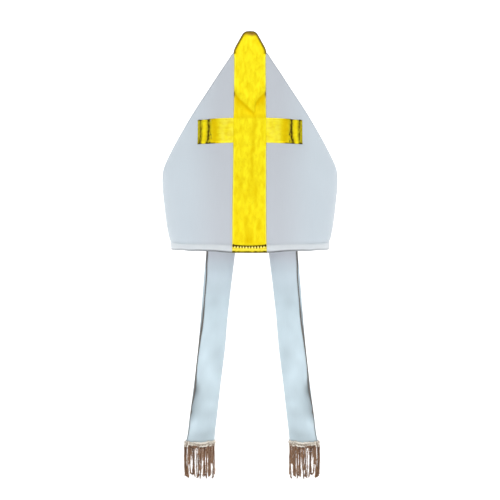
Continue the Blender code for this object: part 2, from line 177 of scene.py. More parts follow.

# Streaks of the upright's foil, each from a low to a high place on the front: deeper ones, pressed
# in and darkened with painted amber shade, and paler ones with a depth below 0, standing out and
# with less of that shade.
FOIL_STREAKS = table("low_x low high_x high reach depth", 5, (
    (3.4, 118, 5.3, 211, 2.9, 0.44), (1.2, 80, 3.4, 126, 4, 0.36),
    (-14.2, 86, -11.8, 112, 5, 0.34), (8.8, 78, 10.4, 112, 4.4, 0.38),
    (-5.8, 86, -4.4, 114, 2.2, -0.3), (-4, 14, -4.4, 56, 4.6, 0.4), (2.2, 14, 2.6, 38, 5, 0.26),
    (15, 34, 14, 52, 3, 0.3), (-17.6, 26, -18.6, 62, 3.6, 0.22),
    (-12.6, 30, -12.8, 50, 2.4, -0.28), (8.6, 18, 6.4, 48, 2, -0.26),
    (-10, 12, -7.8, 34, 1.6, -0.26), (11.8, 118, 11.2, 200, 3.4, -0.12),
    (-11.2, 118, -9.6, 168, 4, 0.1), (-4, 262, -3, 286, 5, 0.14)))

# Creases over the turned-under ends of the bar, darkened with painted shade: distances from the
# middle at the top, two thirds down and at the bottom.
BAR_CREASES = table("top low bottom reach strength", 4, (
    (61.9, 61.9, 64.6, 2.2, 0.98), (61.2, 60.4, 62.4, 3.8, 0.24), (73.8, 73, 74.4, 1.9, 0.86),
    (75.8, 75.4, 76.2, 1.5, 0.34), (78.4, 78, 77.8, 1.6, 0.46)))

# Cords of the left fringe. The places of the top, middle and tip of each are millimetres
# from the fringe's outer side, and end is millimetres below the hem. layer is 1 in front
# and -1 behind, and curl is the turn of the tip in degrees.
FRINGE_OUTER = 0.1089    # the fringe's outer side, from the middle line of the pair
FRINGE_CORDS = table("top middle tip end thickness tone layer curl", 0, (
    (2.2, 2.1, 3.4, 363.6, 1.05, 0.3, 0.5, 60), (4.6, 3.9, 5.8, 365.2, 1.05, 0.16, -0.2, 110),
    (7.9, 6.8, 7.4, 366.8, 0.95, 0.58, 0.6, 40), (8.8, 8.9, 8.4, 346, 0.55, 1.3, -0.6, 20),
    (10.4, 9.9, 11, 360.4, 0.7, 0.36, -0.4, 120), (12.2, 11.2, 10.4, 334, 0.7, 0.6, 0.7, -40),
    (12.9, 13.2, 13, 329, 0.6, 1.25, -0.7, 30), (14.6, 15.7, 15.2, 361.2, 1.05, 0.04, 0.4, -100),
    (17.2, 17, 18.2, 367, 0.5, 0.5, -0.3, 40), (18.8, 18.7, 18.6, 320, 0.6, 0.3, 0.3, 10),
    (22, 20.9, 21.6, 367.5, 0.65, 0.34, 0.5, -60),
    (23.9, 23.8, 23.9, 365.2, 0.8, 0.16, -0.5, -110), (25.2, 25.7, 25.6, 356, 0.6, 1.1, 0.2, 30),
    (27.2, 27.6, 26.4, 370, 0.7, 0.24, 0.6, 20), (26.4, 26.9, 25, 352, 0.5, 0.12, 0.7, -30),
    (33.4, 33.2, 32.2, 350, 0.45, 0.14, 0.7, 20), (28.9, 28.5, 27.6, 357, 0.5, 1.3, -0.6, 10),
    (30.6, 30.9, 30.4, 336, 0.6, 0.9, 0.4, -30), (32.2, 32.4, 31.2, 367, 0.65, 0.55, -0.4, 30),
    (34.2, 33.3, 34, 365, 0.95, 0.16, 0.3, -60), (36.6, 36.3, 36.2, 369, 0.65, 0.45, -0.5, 60),
    (37.2, 37.4, 37.2, 360, 0.55, 1.1, 0.6, 10), (39.4, 39.9, 40.1, 366, 0.95, 0.34, 0.2, -50),
    (41.4, 41.3, 41.5, 363.6, 0.65, 0.8, -0.6, 40), (43, 42.8, 42.4, 364.4, 0.75, 0.34, 0.5, -80),
    (44.5, 44.4, 45, 346, 0.7, 0.7, -0.3, 30), (46.3, 45.9, 46.2, 345, 0.65, 0.9, 0.6, -20),
    (47.6, 47.4, 46.6, 368.5, 0.75, 0.22, -0.4, -90), (48.6, 48.9, 49, 363, 0.55, 0.6, 0.4, 30),
    (24.6, 24.4, 24, 327, 0.5, 1, 0.3, 10), (29.8, 29.6, 29.2, 329, 0.5, 1.1, 0.4, -20),
    (38.2, 38, 37.6, 329, 0.7, 0.1, 0.5, 20), (35.2, 35, 35.2, 326, 0.5, 1.1, 0.3, -20)))


def column_at(rows, column, heights):
    """Values of a table's column at heights: a smooth curve through its rows."""
    ordered = sorted(rows)
    at = np.array([row.height for row in ordered])
    value = np.array([getattr(row, column) for row in ordered])
    index = np.arange(len(at))
    low = np.maximum(index - 1, 0)
    high = np.minimum(index + 1, len(at) - 1)
    slope = (value[high] - value[low]) / (at[high] - at[low])
    held = np.clip(np.asarray(heights, float), at[0], at[-1])
    i = np.clip(np.searchsorted(at, held, side="right") - 1, 0, len(at) - 2)
    run = at[i + 1] - at[i]
    t = (held - at[i]) / run
    return ((2 * t**3 - 3 * t**2 + 1) * value[i] + (t**3 - 2 * t**2 + t) * run * slope[i]
            + (3 * t**2 - 2 * t**3) * value[i + 1] + (t**3 - t**2) * run * slope[i + 1])


def unit(vectors):
    """The directions of vectors, with length 1."""
    return vectors / np.maximum(np.linalg.norm(vectors, axis=-1, keepdims=True), 1e-12)


def smooth_step(low, high, value):
    """0 below low, 1 above high, smooth between."""
    t = np.clip((value - low) / (high - low), 0.0, 1.0)
    return t * t * (3 - 2 * t)


def fall(low, high, value):
    """1 below low, 0 above high, smooth between."""
    return 1.0 - smooth_step(low, high, value)


def bell(value, middle, reach):
    """1 at the middle, falling smoothly away over reach."""
    return np.exp(-((value - middle) / reach)**2)


def through(points, x):
    """The value at x of a line through a few points."""
    return np.interp(x, [p[0] for p in points], [p[1] for p in points])


def half_width(height):
    """Half width of a shield at a height."""
    return column_at(SHIELD_SECTIONS, "half_width", height)


def shield_depth(x, height):
    """Distance of a shield's outer face from the middle plane."""
    middle, edge, roundness = (column_at(SHIELD_SECTIONS, column, height)
                               for column in ("middle_depth", "edge_depth", "roundness"))
    square = np.clip((x / half_width(height))**2, 0.0, 1.0)
    bow = (1 - roundness) * (1 - square) + roundness * np.sqrt(1 - square)
    return edge + (middle - edge) * bow


def hem_puff(height):
    """How far the turned hem stands proud of the shield."""
    inside = np.clip(height / HEM_HEIGHT, 0.0, 1.0)
    return HEM_PUFF * np.sqrt(np.sin(math.pi * inside))


def shield_face(x, height, out=0.0):
    """Points and outward directions of the front shield's face, moved outward by out."""
    step = 0.0005
    reach = half_width(height) * 0.995
    x_flat = np.clip(x, -reach, reach)
    low = np.maximum(height - step, 0.0)
    high = np.minimum(height + step, PEAK)
    slope_x = (shield_depth(x_flat + step, height)
               - shield_depth(x_flat - step, height)) / (2 * step)
    slope_z = (shield_depth(x_flat, high) - shield_depth(x_flat, low)) / (high - low)
    ahead = unit(np.stack([-slope_x, -np.ones_like(slope_x), -slope_z], axis=-1))
    face = np.stack([x, -shield_depth(x, height), height + 0 * x], axis=-1)
    return face + ahead * np.asarray(out)[..., None], ahead


def lappet_depth(side, distance, height, across):
    """Depth of a lappet's middle layer: along the back hem, then a hanging band."""
    held = np.maximum(height, 0.0)
    face = shield_face(PAIR_ASIDE + side * distance, held, -(WALL + LAPPET_CLEAR))[0]
    wall = -face[..., 1]
    middle = (column_at(LAPPET_SECTIONS, "outer", height)
              + column_at(LAPPET_SECTIONS, "inner", height)) / 2
    hanging = LAPPET_DEPTH - LAPPET_TURN * (distance - middle)
    for fold in LAPPET_FOLDS:
        hanging = hanging - fold.rise * fold_share(fold, height, across)
    away = smooth_step(0.0, LAPPET_SETTLE, -height)
    return (1 - away) * wall + away * hanging


def fold_share(fold, height, across):
    """1 at the heart of a soft fold, falling away over its reach."""
    far = ((height - fold.height) / fold.reach_up)**2
    far = far + ((across - fold.across) / fold.reach_across)**2
    return np.exp(-far)


def end_sag(across, height):
    """Sag of the lappet's lower end, growing over its last stretch."""
    near_end = smooth_step(-LAPPET_END - END_BOW_REACH, -LAPPET_END, -height)
    return END_BOW * near_end * (1 - (2 * across - 1)**2)


# ---------------------------------------------------------------- mesh making

def turns(start, end, count):
    """Even angles from start to end in degrees, as radians."""
    return np.radians(np.linspace(start, end, count))


def noise_field(first, second, seed):
    """Smooth noise from -1 to 1 at pairs of coordinates counted in wavelengths."""
    first, second = np.broadcast_arrays(first, second)
    flat = [noise.noise(Vector((a, b, 17.3 * seed)))
            for a, b in zip(first.ravel(), second.ravel())]
    return np.array(flat).reshape(first.shape)


def rumple(x, height, seed, *layers):
    """Layers of smooth noise, each a rise and its wavelengths across and up."""
    return sum(rise * noise_field(x / across, height / up, seed + i)
               for i, (rise, across, up) in enumerate(layers))


def add_mesh(name, vertices, faces, marks, material):
    """A smooth mesh object with named point attributes."""
    mesh = bpy.data.meshes.new(name)
    mesh.from_pydata([tuple(v) for v in vertices], [], [tuple(f) for f in faces])
    for mark, values in marks.items():
        values = np.asarray(values, np.float32)
        kind, field = ("FLOAT_VECTOR", "vector") if values.ndim == 2 else ("FLOAT", "value")
        mesh.attributes.new(mark, kind, "POINT").data.foreach_set(field, values.ravel())
    mesh.shade_smooth()
    mesh.materials.append(material)
    piece = bpy.data.objects.new(name, mesh)
    bpy.context.scene.collection.objects.link(piece)
    return piece


def grid_normals(points):
    """Unit normals of a grid of points, rows by columns."""
    return unit(np.cross(np.gradient(points, axis=1), np.gradient(points, axis=0)))


def thick_sheet(name, points, thickness, cloth, marks, material, rim_steps=4, inner=None):
    """A closed sheet with round edges, grown backward from a grid of face points.

    cloth holds each point's place on the flat cloth. marks are grids of values that the
    material reads. The face carries them in full, and the back at half or as inner says.
    """
    rows, columns = points.shape[:2]
    count = rows * columns
    normals = grid_normals(points)
    thick = np.broadcast_to(np.asarray(thickness, float), (rows, columns))
    back = points - normals * thick[..., None]
    index = np.arange(count).reshape(rows, columns)
    loop = np.concatenate([index[0, :-1], index[:-1, -1], index[-1, :0:-1], index[:0:-1, 0]])
    edge = points.reshape(-1, 3)[loop]
    ahead = normals.reshape(-1, 3)[loop]
    outward = unit(np.cross(np.roll(edge, -1, axis=0) - np.roll(edge, 1, axis=0), ahead))
    radius = thick.reshape(-1)[loop][:, None] / 2
    vertices = [points.reshape(-1, 3), back.reshape(-1, 3)]
    rings = [loop]
    for step in range(1, rim_steps):
        turn = math.pi * step / rim_steps
        vertices.append(edge - ahead * radius
                        + radius * (math.cos(turn) * ahead + math.sin(turn) * outward))
        rings.append(2 * count + (step - 1) * len(loop) + np.arange(len(loop)))
    rings.append(loop + count)

    a, b = index[:-1, :-1].ravel(), index[:-1, 1:].ravel()
    c, d = index[1:, 1:].ravel(), index[1:, :-1].ravel()
    faces = [*zip(a, b, c, d), *zip(d + count, c + count, b + count, a + count)]
    for upper, lower in zip(rings, rings[1:]):
        faces.extend(zip(upper, lower, np.roll(lower, -1), np.roll(upper, -1)))

    cloth = cloth.reshape(-1, 2)
    place = np.concatenate([cloth] * 2 + [cloth[loop]] * (rim_steps - 1))
    side = np.repeat([0, 1, *np.arange(1, rim_steps) / rim_steps],
                     [count, count] + [len(loop)] * (rim_steps - 1))
    all_marks = {"cloth": np.column_stack([place, side])}
    for mark, values in marks.items():
        flat = np.broadcast_to(values, (rows, columns)).reshape(-1)
        behind = inner[mark].reshape(-1) if inner and mark in inner else flat / 2
        all_marks[mark] = np.concatenate([flat, behind] + [flat[loop]] * (rim_steps - 1))
    return add_mesh(name, np.concatenate(vertices), faces, all_marks, material)


def lengths_along(points, axis=0):
    """Distance run along a path, or along the columns or rows of a grid."""
    steps = np.linalg.norm(np.diff(points, axis=axis), axis=-1)
    start = np.zeros_like(np.take(steps, [0], axis=axis))
    return np.concatenate([start, np.cumsum(steps, axis=axis)], axis=axis)


def mirrored(*grids):
    """Grids, and tables of grids, with their columns the other way round."""
    return [{label: grid[:, ::-1] for label, grid in item.items()}
            if isinstance(item, dict) else item[:, ::-1] for item in grids]


def smooth_path(points, count):
    """A path of evenly spaced points on a smooth curve through a few points."""
    points = np.asarray(points, float)
    padded = np.concatenate([[2 * points[0] - points[1]], points,
                             [2 * points[-1] - points[-2]]])
    fine = []
    for i in range(1, len(padded) - 2):
        p0, p1, p2, p3 = padded[i - 1:i + 3]
        for t in np.linspace(0, 1, 12, endpoint=False):
            fine.append(0.5 * (2 * p1 + (p2 - p0) * t + (2 * p0 - 5 * p1 + 4 * p2 - p3) * t**2
                               + (3 * p1 - p0 - 3 * p2 + p3) * t**3))
    fine = np.array(fine + [points[-1]])
    run = lengths_along(fine)
    even = np.linspace(0, run[-1], count)
    return np.stack([np.interp(even, run, fine[:, k]) for k in range(3)], axis=1)


def path_frames(path):
    """Two unit vectors square to a path at each of its points, turning as little as they can."""
    tangent = unit(np.gradient(path, axis=0))
    first = np.cross(tangent[0], (0.0, 1.0, 0.0))
    if np.linalg.norm(first) < 0.1:
        first = np.cross(tangent[0], (1.0, 0.0, 0.0))
    side = np.empty_like(path)
    for i, ahead in enumerate(tangent):
        first = first - ahead * np.dot(first, ahead)
        first = first / np.linalg.norm(first)
        side[i] = first
    return side, np.cross(tangent, side)


def twisted_strands(path, radius, pitch, plies, phase):
    """Paths of the strands of a twisted cord of that outer radius."""
    side, over = path_frames(path)
    strands = []
    for ply in range(plies):
        turn = 2 * math.pi * (lengths_along(path) / pitch + ply / plies) + phase
        offset = side * np.cos(turn)[:, None] + over * np.sin(turn)[:, None]
        strands.append(path + offset * radius * 0.46)
    return strands


def tube_bundle(name, tubes, sides, material):
    """One mesh of many round tubes. tubes are (path, radius or radii, tone)."""
    vertices, faces, cloth, tones = [], [], [], []
    start = 0
    angle = 2 * math.pi * np.arange(sides) / sides
    for path, radius, tone in tubes:
        path = np.asarray(path, float)
        side, over = path_frames(path)
        radii = np.broadcast_to(np.asarray(radius, float), len(path))
        run = lengths_along(path)
        ring = (side[:, None] * np.cos(angle)[None, :, None]
                + over[:, None] * np.sin(angle)[None, :, None])
        rings = path[:, None] + ring * radii[:, None, None]
        vertices.append(np.concatenate([rings.reshape(-1, 3), path[:1], path[-1:]]))
        wall = len(path) * sides
        cloth.append(np.column_stack([
            np.append(np.tile(np.arange(sides) / sides, len(path)), [0, 0]),
            np.append(np.repeat(run, sides), [0, run[-1]]), np.zeros(wall + 2)]))
        tones.append(np.full(wall + 2, tone))
        here = start + np.arange(wall).reshape(-1, sides)
        after = np.roll(here, -1, axis=1)
        faces.extend(zip(here[:-1].ravel(), after[:-1].ravel(), after[1:].ravel(),
                         here[1:].ravel()))
        faces.extend((start + wall, b, a) for a, b in zip(here[0], after[0]))
        faces.extend((start + wall + 1, a, b) for a, b in zip(here[-1], after[-1]))
        start += wall + 2
    marks = {"cloth": np.concatenate(cloth), "tone": np.concatenate(tones)}
    return add_mesh(name, np.concatenate(vertices), faces, marks, material)


def keep(piece, replaced=()):
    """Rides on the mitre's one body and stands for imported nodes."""
    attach(piece, BODY)
    if replaced:
        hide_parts(*replaced)


# ---------------------------------------------------------------- shader effects

def fill(tree, value, socket):
    """Links a (node, output) pair into a socket, or sets the socket to a number or colour."""
    if isinstance(value, tuple) and isinstance(value[0], bpy.types.Node):
        tree.links.new(value[0].outputs[value[1]], socket)
    elif socket.type == "RGBA":
        socket.default_value = (*value[:3], 1.0)
    else:
        socket.default_value = value


def fill_inputs(tree, node, **inputs):
    """Fills a node's inputs; underscores in their names stand for spaces."""
    for label, value in inputs.items():
        fill(tree, value, node.inputs[label.replace("_", " ")])
    return node


def place_node(tree, kind, settings=(), **inputs):
    """Adds a shader node with its settings and inputs."""
    node = tree.nodes.new("ShaderNode" + kind)
    for label, value in settings:
        setattr(node, label, value)
    return fill_inputs(tree, node, **inputs)


def math_node(tree, operation, *values, clamp=False):
    """A Math node's value, from numbers or (node, output) pairs."""
    node = place_node(tree, "Math", [("operation", operation), ("use_clamp", clamp)])
    for value, socket in zip(values, node.inputs):
        fill(tree, value, socket)
    return (node, 0)


def noise_value(tree, vector, scale, **inputs):
    """A noise texture's value on a vector."""
    return (place_node(tree, "TexNoise", Vector=vector, Scale=scale, **inputs), "Fac")


def mark_value(tree, name):
    """A named mark of the mesh, as a value."""
    return (place_node(tree, "Attribute", [("attribute_name", name)]), "Fac")


def cloth_place(tree):
    """The place on the flat cloth, in metres."""
    return (place_node(tree, "Attribute", [("attribute_name", "cloth")]), "Vector")


def cloth_axes(tree):
    """The cloth's weft and warp, or a cord's turn and length, as two values."""
    split = place_node(tree, "SeparateXYZ", Vector=cloth_place(tree))
    return (split, "X"), (split, "Y")


def new_group(name, inputs, outputs):
    """An empty shader node group with number sockets, and the two ends of its tree."""
    group = bpy.data.node_groups.new(name, "ShaderNodeTree")
    for label, default in inputs:
        socket = group.interface.new_socket(label, in_out="INPUT",
                                            socket_type="NodeSocketFloat")
        socket.default_value = default
    for label in outputs:
        group.interface.new_socket(label, in_out="OUTPUT", socket_type="NodeSocketFloat")
    return group, group.nodes.new("NodeGroupInput"), group.nodes.new("NodeGroupOutput")


def long_noise(group, width, stretch, **inputs):
    """Noise that runs longer along the warp than across it."""
    weft, warp = cloth_axes(group)
    length = math_node(group, "MULTIPLY", width, stretch)
    place = place_node(group, "CombineXYZ", X=math_node(group, "DIVIDE", weft, width),
                       Y=math_node(group, "DIVIDE", warp, length))
    return noise_value(group, (place, "Vector"), 1.0, **inputs)


def satin_weave_group():
    """Fine vertical floats of a satin weave, with slubs. Puts out a height and a sheen mask."""
    group, source, target = new_group(
        "Satin Weave", [("Thread", 0.00042), ("Float Length", 0.0021), ("Slubs", 0.35)],
        ["Height", "Sheen Mask"])
    calc = partial(math_node, group)
    weft, warp = cloth_axes(group)
    thread = calc("DIVIDE", weft, (source, "Thread"))
    rounded = calc("SINE", calc("MULTIPLY", calc("FRACT", thread), math.pi))
    shift = calc("MULTIPLY", calc("FLOOR", thread), 0.4)
    run = calc("FRACT", calc("ADD", calc("DIVIDE", warp, (source, "Float Length")), shift))
    dip = calc("MULTIPLY", calc("LESS_THAN", run, 0.14), 0.55)
    stretch = place_node(group, "Mapping", Vector=cloth_place(group), Scale=(900.0, 38.0, 1.0))
    slub = noise_value(group, (stretch, "Vector"), 1.0, Detail=1.0)
    fill_inputs(group, target, Height=calc(
        "MULTIPLY_ADD", slub, (source, "Slubs"), calc("SUBTRACT", rounded, dip)))
    fill_inputs(group, target, Sheen_Mask=calc(
        "MULTIPLY_ADD", slub, 0.5, calc("MULTIPLY", rounded, 0.5), clamp=True))
    return group


def soft_mottle_group():
    """Broad, faint unevenness of cloth that has been folded and handled. 0.5 is even."""
    group, source, target = new_group("Soft Mottle", [("Size", 0.06), ("Stretch", 2.0)],
                                      ["Value"])
    fill_inputs(group, target, Value=long_noise(group, (source, "Size"), (source, "Stretch"),
                                                Roughness=0.45))
    return group


def foil_grain_group():
    """Crackle and lengthwise streaks of foil on cloth. Puts out a height and a wear mask."""
    group, source, target = new_group("Foil Grain", [("Streak Width", 0.0022), ("Wear", 0.5)],
                                      ["Height", "Wear Mask", "Streaks"])
    calc = partial(math_node, group)
    cloth = cloth_place(group)
    streaks = long_noise(group, (source, "Streak Width"), 2.5, Distortion=0.5)
    grain = noise_value(group, cloth, 2600.0, Roughness=0.6)
    crackle = place_node(group, "TexVoronoi", [("feature", "DISTANCE_TO_EDGE")],
                         Scale=420.0, Vector=cloth)
    line = calc("LESS_THAN", (crackle, "Distance"), 0.035)
    broken = calc("GREATER_THAN", noise_value(group, cloth, 90.0), 0.6)
    worn = calc("MULTIPLY", calc("MULTIPLY", line, broken), (source, "Wear"))
    fill_inputs(group, target, Streaks=streaks, Wear_Mask=worn,
                Height=calc("MULTIPLY_ADD", grain, 0.22, streaks))
    return group


def cord_ply_group():
    """Slanting yarns of a twisted strand. Puts out a height and a shade between them."""
    group, source, target = new_group("Cord Ply", [("Yarn Pitch", 0.0016), ("Yarns", 3.0)],
                                      ["Height", "Shade"])
    calc = partial(math_node, group)
    around, along = cloth_axes(group)
    turn = calc("ADD", calc("MULTIPLY", around, (source, "Yarns")),
                calc("DIVIDE", along, (source, "Yarn Pitch")))
    yarn = calc("SINE", calc("MULTIPLY", calc("FRACT", turn), math.pi))
    place = place_node(group, "TexCoord")
    fibre = noise_value(group, (place, "Object"), 2400.0, Roughness=0.6)
    shade = calc("MULTIPLY_ADD", fibre, 0.35, calc("MULTIPLY", yarn, 0.65), clamp=True)
    fill_inputs(group, target, Height=calc("MULTIPLY_ADD", fibre, 0.3, yarn), Shade=shade)
    return group


def place_group(tree, group, **values):
    """A group node with its own input values."""
    node = tree.nodes.new("ShaderNodeGroup")
    node.node_tree = group
    return fill_inputs(tree, node, **values)


def mix_colours(tree, factor, first, second, blend="MIX"):
    """A colour mix whose parts are colours or (node, output) pairs."""
    node = place_node(tree, "Mix", [("data_type", "RGBA"), ("blend_type", blend)])
    for index, value in ((0, factor), (6, first), (7, second)):
        fill(tree, value, node.inputs[index])
    return (node, 2)


def marked_colours(tree, colour, layers):
    """A colour with others laid over it, each where its mark is."""
    for mark, over in layers:
        colour = mix_colours(tree, mark_value(tree, mark), colour, over)
    return colour


def new_material(name):
    """A material with its Principled shader and a Bump node that feeds its normal."""
    material = bpy.data.materials.new(name)
    material.use_nodes = True
    tree = material.node_tree
    bump = place_node(tree, "Bump")
    shader = fill_inputs(tree, tree.nodes["Principled BSDF"], Normal=(bump, "Normal"))
    return material, tree, shader, bump


def satin_material(name, tones, colours, groups, mottle_size, spread, middle, relief):
    """White satin: weave and broad mottle, with tone, shade and light painted in from its marks.

    tones are the light, the deep and the painted shade colour. The mottle runs over spread round
    middle, where 0 is deep and 1 is light.
    """
    light, deep, painted_shade = tones
    material, tree, shader, bump = new_material(name)
    calc = partial(math_node, tree)
    weave = place_group(tree, groups["satin_weave"])
    mottle = place_group(tree, groups["soft_mottle"], Size=mottle_size)
    even = calc("MULTIPLY_ADD", (mottle, "Value"), spread, middle - spread / 2)
    toned = calc("ADD", even, mark_value(tree, "tone"), clamp=True)
    # Painted shade beside the cross and under the hem, painted light on the hem, and painted shade
    # in seams and folds.
    seamed = marked_colours(tree, mix_colours(tree, toned, deep, light), (
        ("tint", painted_shade), ("raised", colours.satin_hem_light), ("seam", colours.seam_shadow)))
    # The weave's sheen mask paints a faint sheen into the colour along the floats.
    thread = calc("MULTIPLY_ADD", (weave, "Sheen Mask"), 0.08, 0.945)
    rough = calc("MULTIPLY_ADD", (weave, "Sheen Mask"), -0.12, 0.52)
    fill_inputs(tree, shader, Base_Color=mix_colours(tree, 1.0, seamed, thread, "MULTIPLY"),
                Roughness=rough, Specular_IOR_Level=0.35, Sheen_Weight=0.3,
                Sheen_Roughness=0.35)
    fill_inputs(tree, bump, Strength=relief, Distance=0.00008, Height=(weave, "Height"))
    return material


def foil_material(name, crease_shade_and_wear_colour, colours, groups):
    """Gold foil on cloth, softly streaked and worn along a fine crackle, with painted shade in
    creases, on turned edges and on the top, and painted glints.
    """
    material, tree, shader, bump = new_material(name)
    calc = partial(math_node, tree)
    grain = place_group(tree, groups["foil_grain"], Streak_Width=0.0054, Wear=0.12)
    streak = calc("MULTIPLY_ADD", (grain, "Streaks"), 2.6, -0.65)
    streak = calc("MULTIPLY_ADD", mark_value(tree, "glint"), 2.5, streak, clamp=True)
    # Painted amber shade, painted glints, a painted dark top and painted dark shade in creases,
    # each where its mark is.
    creased = marked_colours(tree, mix_colours(tree, streak, colours.foil_deep, colours.foil), (
        ("amber_shade", colours.foil_amber_shade), ("glint", colours.foil_glint),
        ("top_shade", colours.foil_top_shade), ("crease", crease_shade_and_wear_colour)))
    metal = calc("MULTIPLY_ADD", mark_value(tree, "crease"), -1.2, 1.0, clamp=True)
    rough = calc("MULTIPLY_ADD", (grain, "Streaks"), 0.14, 0.24)
    fill_inputs(tree, shader, Metallic=metal, Specular_IOR_Level=0.06,
                Base_Color=mix_colours(tree, (grain, "Wear Mask"), creased, crease_shade_and_wear_colour),
                Roughness=calc("MULTIPLY_ADD", mark_value(tree, "crease"), 0.35, rough))
    fill_inputs(tree, bump, Strength=0.15, Distance=0.00012, Height=(grain, "Height"))
    return material


def cord_material(name, light, dark, groups, yarn_pitch, roughness, sheen=0.2, specular=0.5):
    """Twisted yarn in two shades of one colour, varied from strand to strand."""
    material, tree, shader, bump = new_material(name)
    ply = place_group(tree, groups["cord_ply"], Yarn_Pitch=yarn_pitch)
    shade = math_node(tree, "MULTIPLY", (ply, "Shade"), mark_value(tree, "tone"), clamp=True)
    rough = math_node(tree, "MULTIPLY_ADD", (ply, "Shade"), -0.15, roughness)
    fill_inputs(tree, shader, Base_Color=mix_colours(tree, shade, dark, light),
                Roughness=rough, Sheen_Weight=sheen, Specular_IOR_Level=specular)
    fill_inputs(tree, bump, Strength=0.6, Distance=0.0002, Height=(ply, "Height"))
    return material


def stage_material(name, colour, glow):
    """Pale matte paper with a faint tooth and a little light of its own, clear from below."""
    material, tree, shader, bump = new_material(name)
    tooth = (place_node(tree, "TexNoise", Scale=60.0, Detail=3.0), "Fac")
    paper = mix_colours(tree, tooth, colour, [min(1.0, c * 1.02) for c in colour])
    facing = place_node(tree, "NewGeometry")
    fill_inputs(tree, shader, Base_Color=paper, Emission_Color=paper, Roughness=0.9,
                Emission_Strength=glow,
                Alpha=math_node(tree, "SUBTRACT", 1.0, (facing, "Backfacing")))
    fill_inputs(tree, bump, Strength=0.05, Height=tooth)
    return material


# ---------------------------------------------------------------- settings

def length_property(label, words, length, **limits):
    """A length in metres."""
    return bpy.props.FloatProperty(name=label, description=words, default=length,
                                   unit="LENGTH", **limits)


def colour_property(label, words, *colour):
    """A linear colour property."""
    return bpy.props.FloatVectorProperty(name=label, description=words, default=colour,
                                         subtype="COLOR", size=3, min=0.0, max=1.0)


class MitreSizes(bpy.types.PropertyGroup):
    """Sizes of the finishing details."""

    sheet_step: length_property("Cloth Step", "Spacing of the mesh over the shields", 0.0026,
                                min=0.001)
    seam_clear: length_property("Seam Clearance", "Half of the gap along the side seams", 0.0002)
    foil_thickness: length_property("Foil Thickness", "Thickness of the gold strips", 0.0004)
    foil_gap: length_property("Foil Gap", "Clear distance under the gold strips", 0.0002)
    stitch_pitch: length_property("Stitch Pitch", "Spacing of the gold hem's stitches", 0.0043)
    thread_radius: length_property("Thread Radius", "Radius of the hem's thread", 0.00075)
    lappet_layer: length_property("Lappet Layer", "Thickness of a lappet's layers", 0.0006)
    lappet_gape: length_property("Lappet Gape", "Gape of a lappet's open side", 0.0026)
    gimp_height: length_property("Gimp Height", "Height of the gimp head", 0.0084)
    cord_radius: length_property("Cord Radius", "Radius of a fringe cord", 0.00136)
    floor_height: length_property("Floor Height", "Height of the floor below the hem", -0.43)


class MitreColours(bpy.types.PropertyGroup):
    """Colours of the finishes."""

    satin: colour_property("Satin", "Light tone of the shields", 0.628, 0.702, 0.762)
    satin_shade: colour_property("Satin Shade", "Deep tone of the shields", 0.575, 0.648, 0.708)
    # Painted shade beside the cross and under the bar.
    satin_painted_shade: colour_property("Satin Cast", "Cast beside the cross", 0.535, 0.568, 0.618)
    # Painted light on the turned hem and along a lappet's closed fold.
    satin_hem_light: colour_property("Hem", "Satin over the turned hem", 0.7, 0.742, 0.772)
    lappet: colour_property("Lappet", "Light tone of the lappets", 0.67, 0.805, 0.88)
    lappet_shade: colour_property("Lappet Shade", "Deep tone of folds", 0.43, 0.525, 0.575)
    # Painted shadow of the hem on the tops of the lappets.
    lappet_hem_shadow: colour_property("Lappet Cast", "Cast under the hem", 0.645, 0.67, 0.728)
    # Painted shade in seams, along edges, in folds and under the hem.
    seam_shadow: colour_property("Seam Shadow", "Cloth in the seams", 0.105, 0.112, 0.125)
    foil: colour_property("Foil", "Gold foil", 0.985, 0.855, 0.018)
    foil_deep: colour_property("Foil Streaks", "Deep tone of streaks", 0.86, 0.66, 0.006)
    # Painted amber shade in the foil's folds and creases.
    foil_amber_shade: colour_property("Foil Warm", "Warm tone of creases", 0.745, 0.51, 0.0012)
    foil_glint: colour_property("Foil Glint", "Puckers that catch the light", 1.0, 0.94, 0.32)
    # Painted dark shade on the top of the peak.
    foil_top_shade: colour_property("Foil Rubbed", "Rubbed top of the peak", 0.35, 0.15, 0.032)
    # Painted dark shade in the foil's creases; the fine crackle of wear takes this colour too.
    foil_crease_shade_and_wear: colour_property("Foil Crease", "Brown of the creases", 0.062, 0.042, 0.001)
    # Painted dark shade on the foil turned over the peak; the fine crackle of wear takes this
    # colour too.
    foil_edge: colour_property("Foil Edge", "Foil turned over the peak", 0.12, 0.07, 0.014)
    # A dark sheet colour that paints the shadow in the gap at a lappet's open side.
    lappet_core: colour_property("Lappet Core", "Core at the open side", 0.29, 0.287, 0.283)
    gimp: colour_property("Gimp", "White-cream yarns of the gimp", 0.97, 0.92, 0.82)
    gimp_shade: colour_property("Gimp Shade", "Peach between the yarns", 0.3, 0.21, 0.145)
    cord: colour_property("Fringe Cord", "Light side of the cords", 0.56, 0.325, 0.19)
    cord_shade: colour_property("Fringe Shade", "Brown between the yarns", 0.082, 0.038, 0.018)
    thread: colour_property("Hem Thread", "Light side of the dark thread", 0.15, 0.072, 0.001)
    thread_shade: colour_property("Hem Thread Shade", "Its deep side", 0.04, 0.019, 0.0005)
    hem_thread_white: colour_property("White Thread", "White hem's thread", 0.66, 0.7, 0.73)
    floor: colour_property("Floor", "Pale floor", 0.9, 0.9, 0.9)


MATERIALS = {}


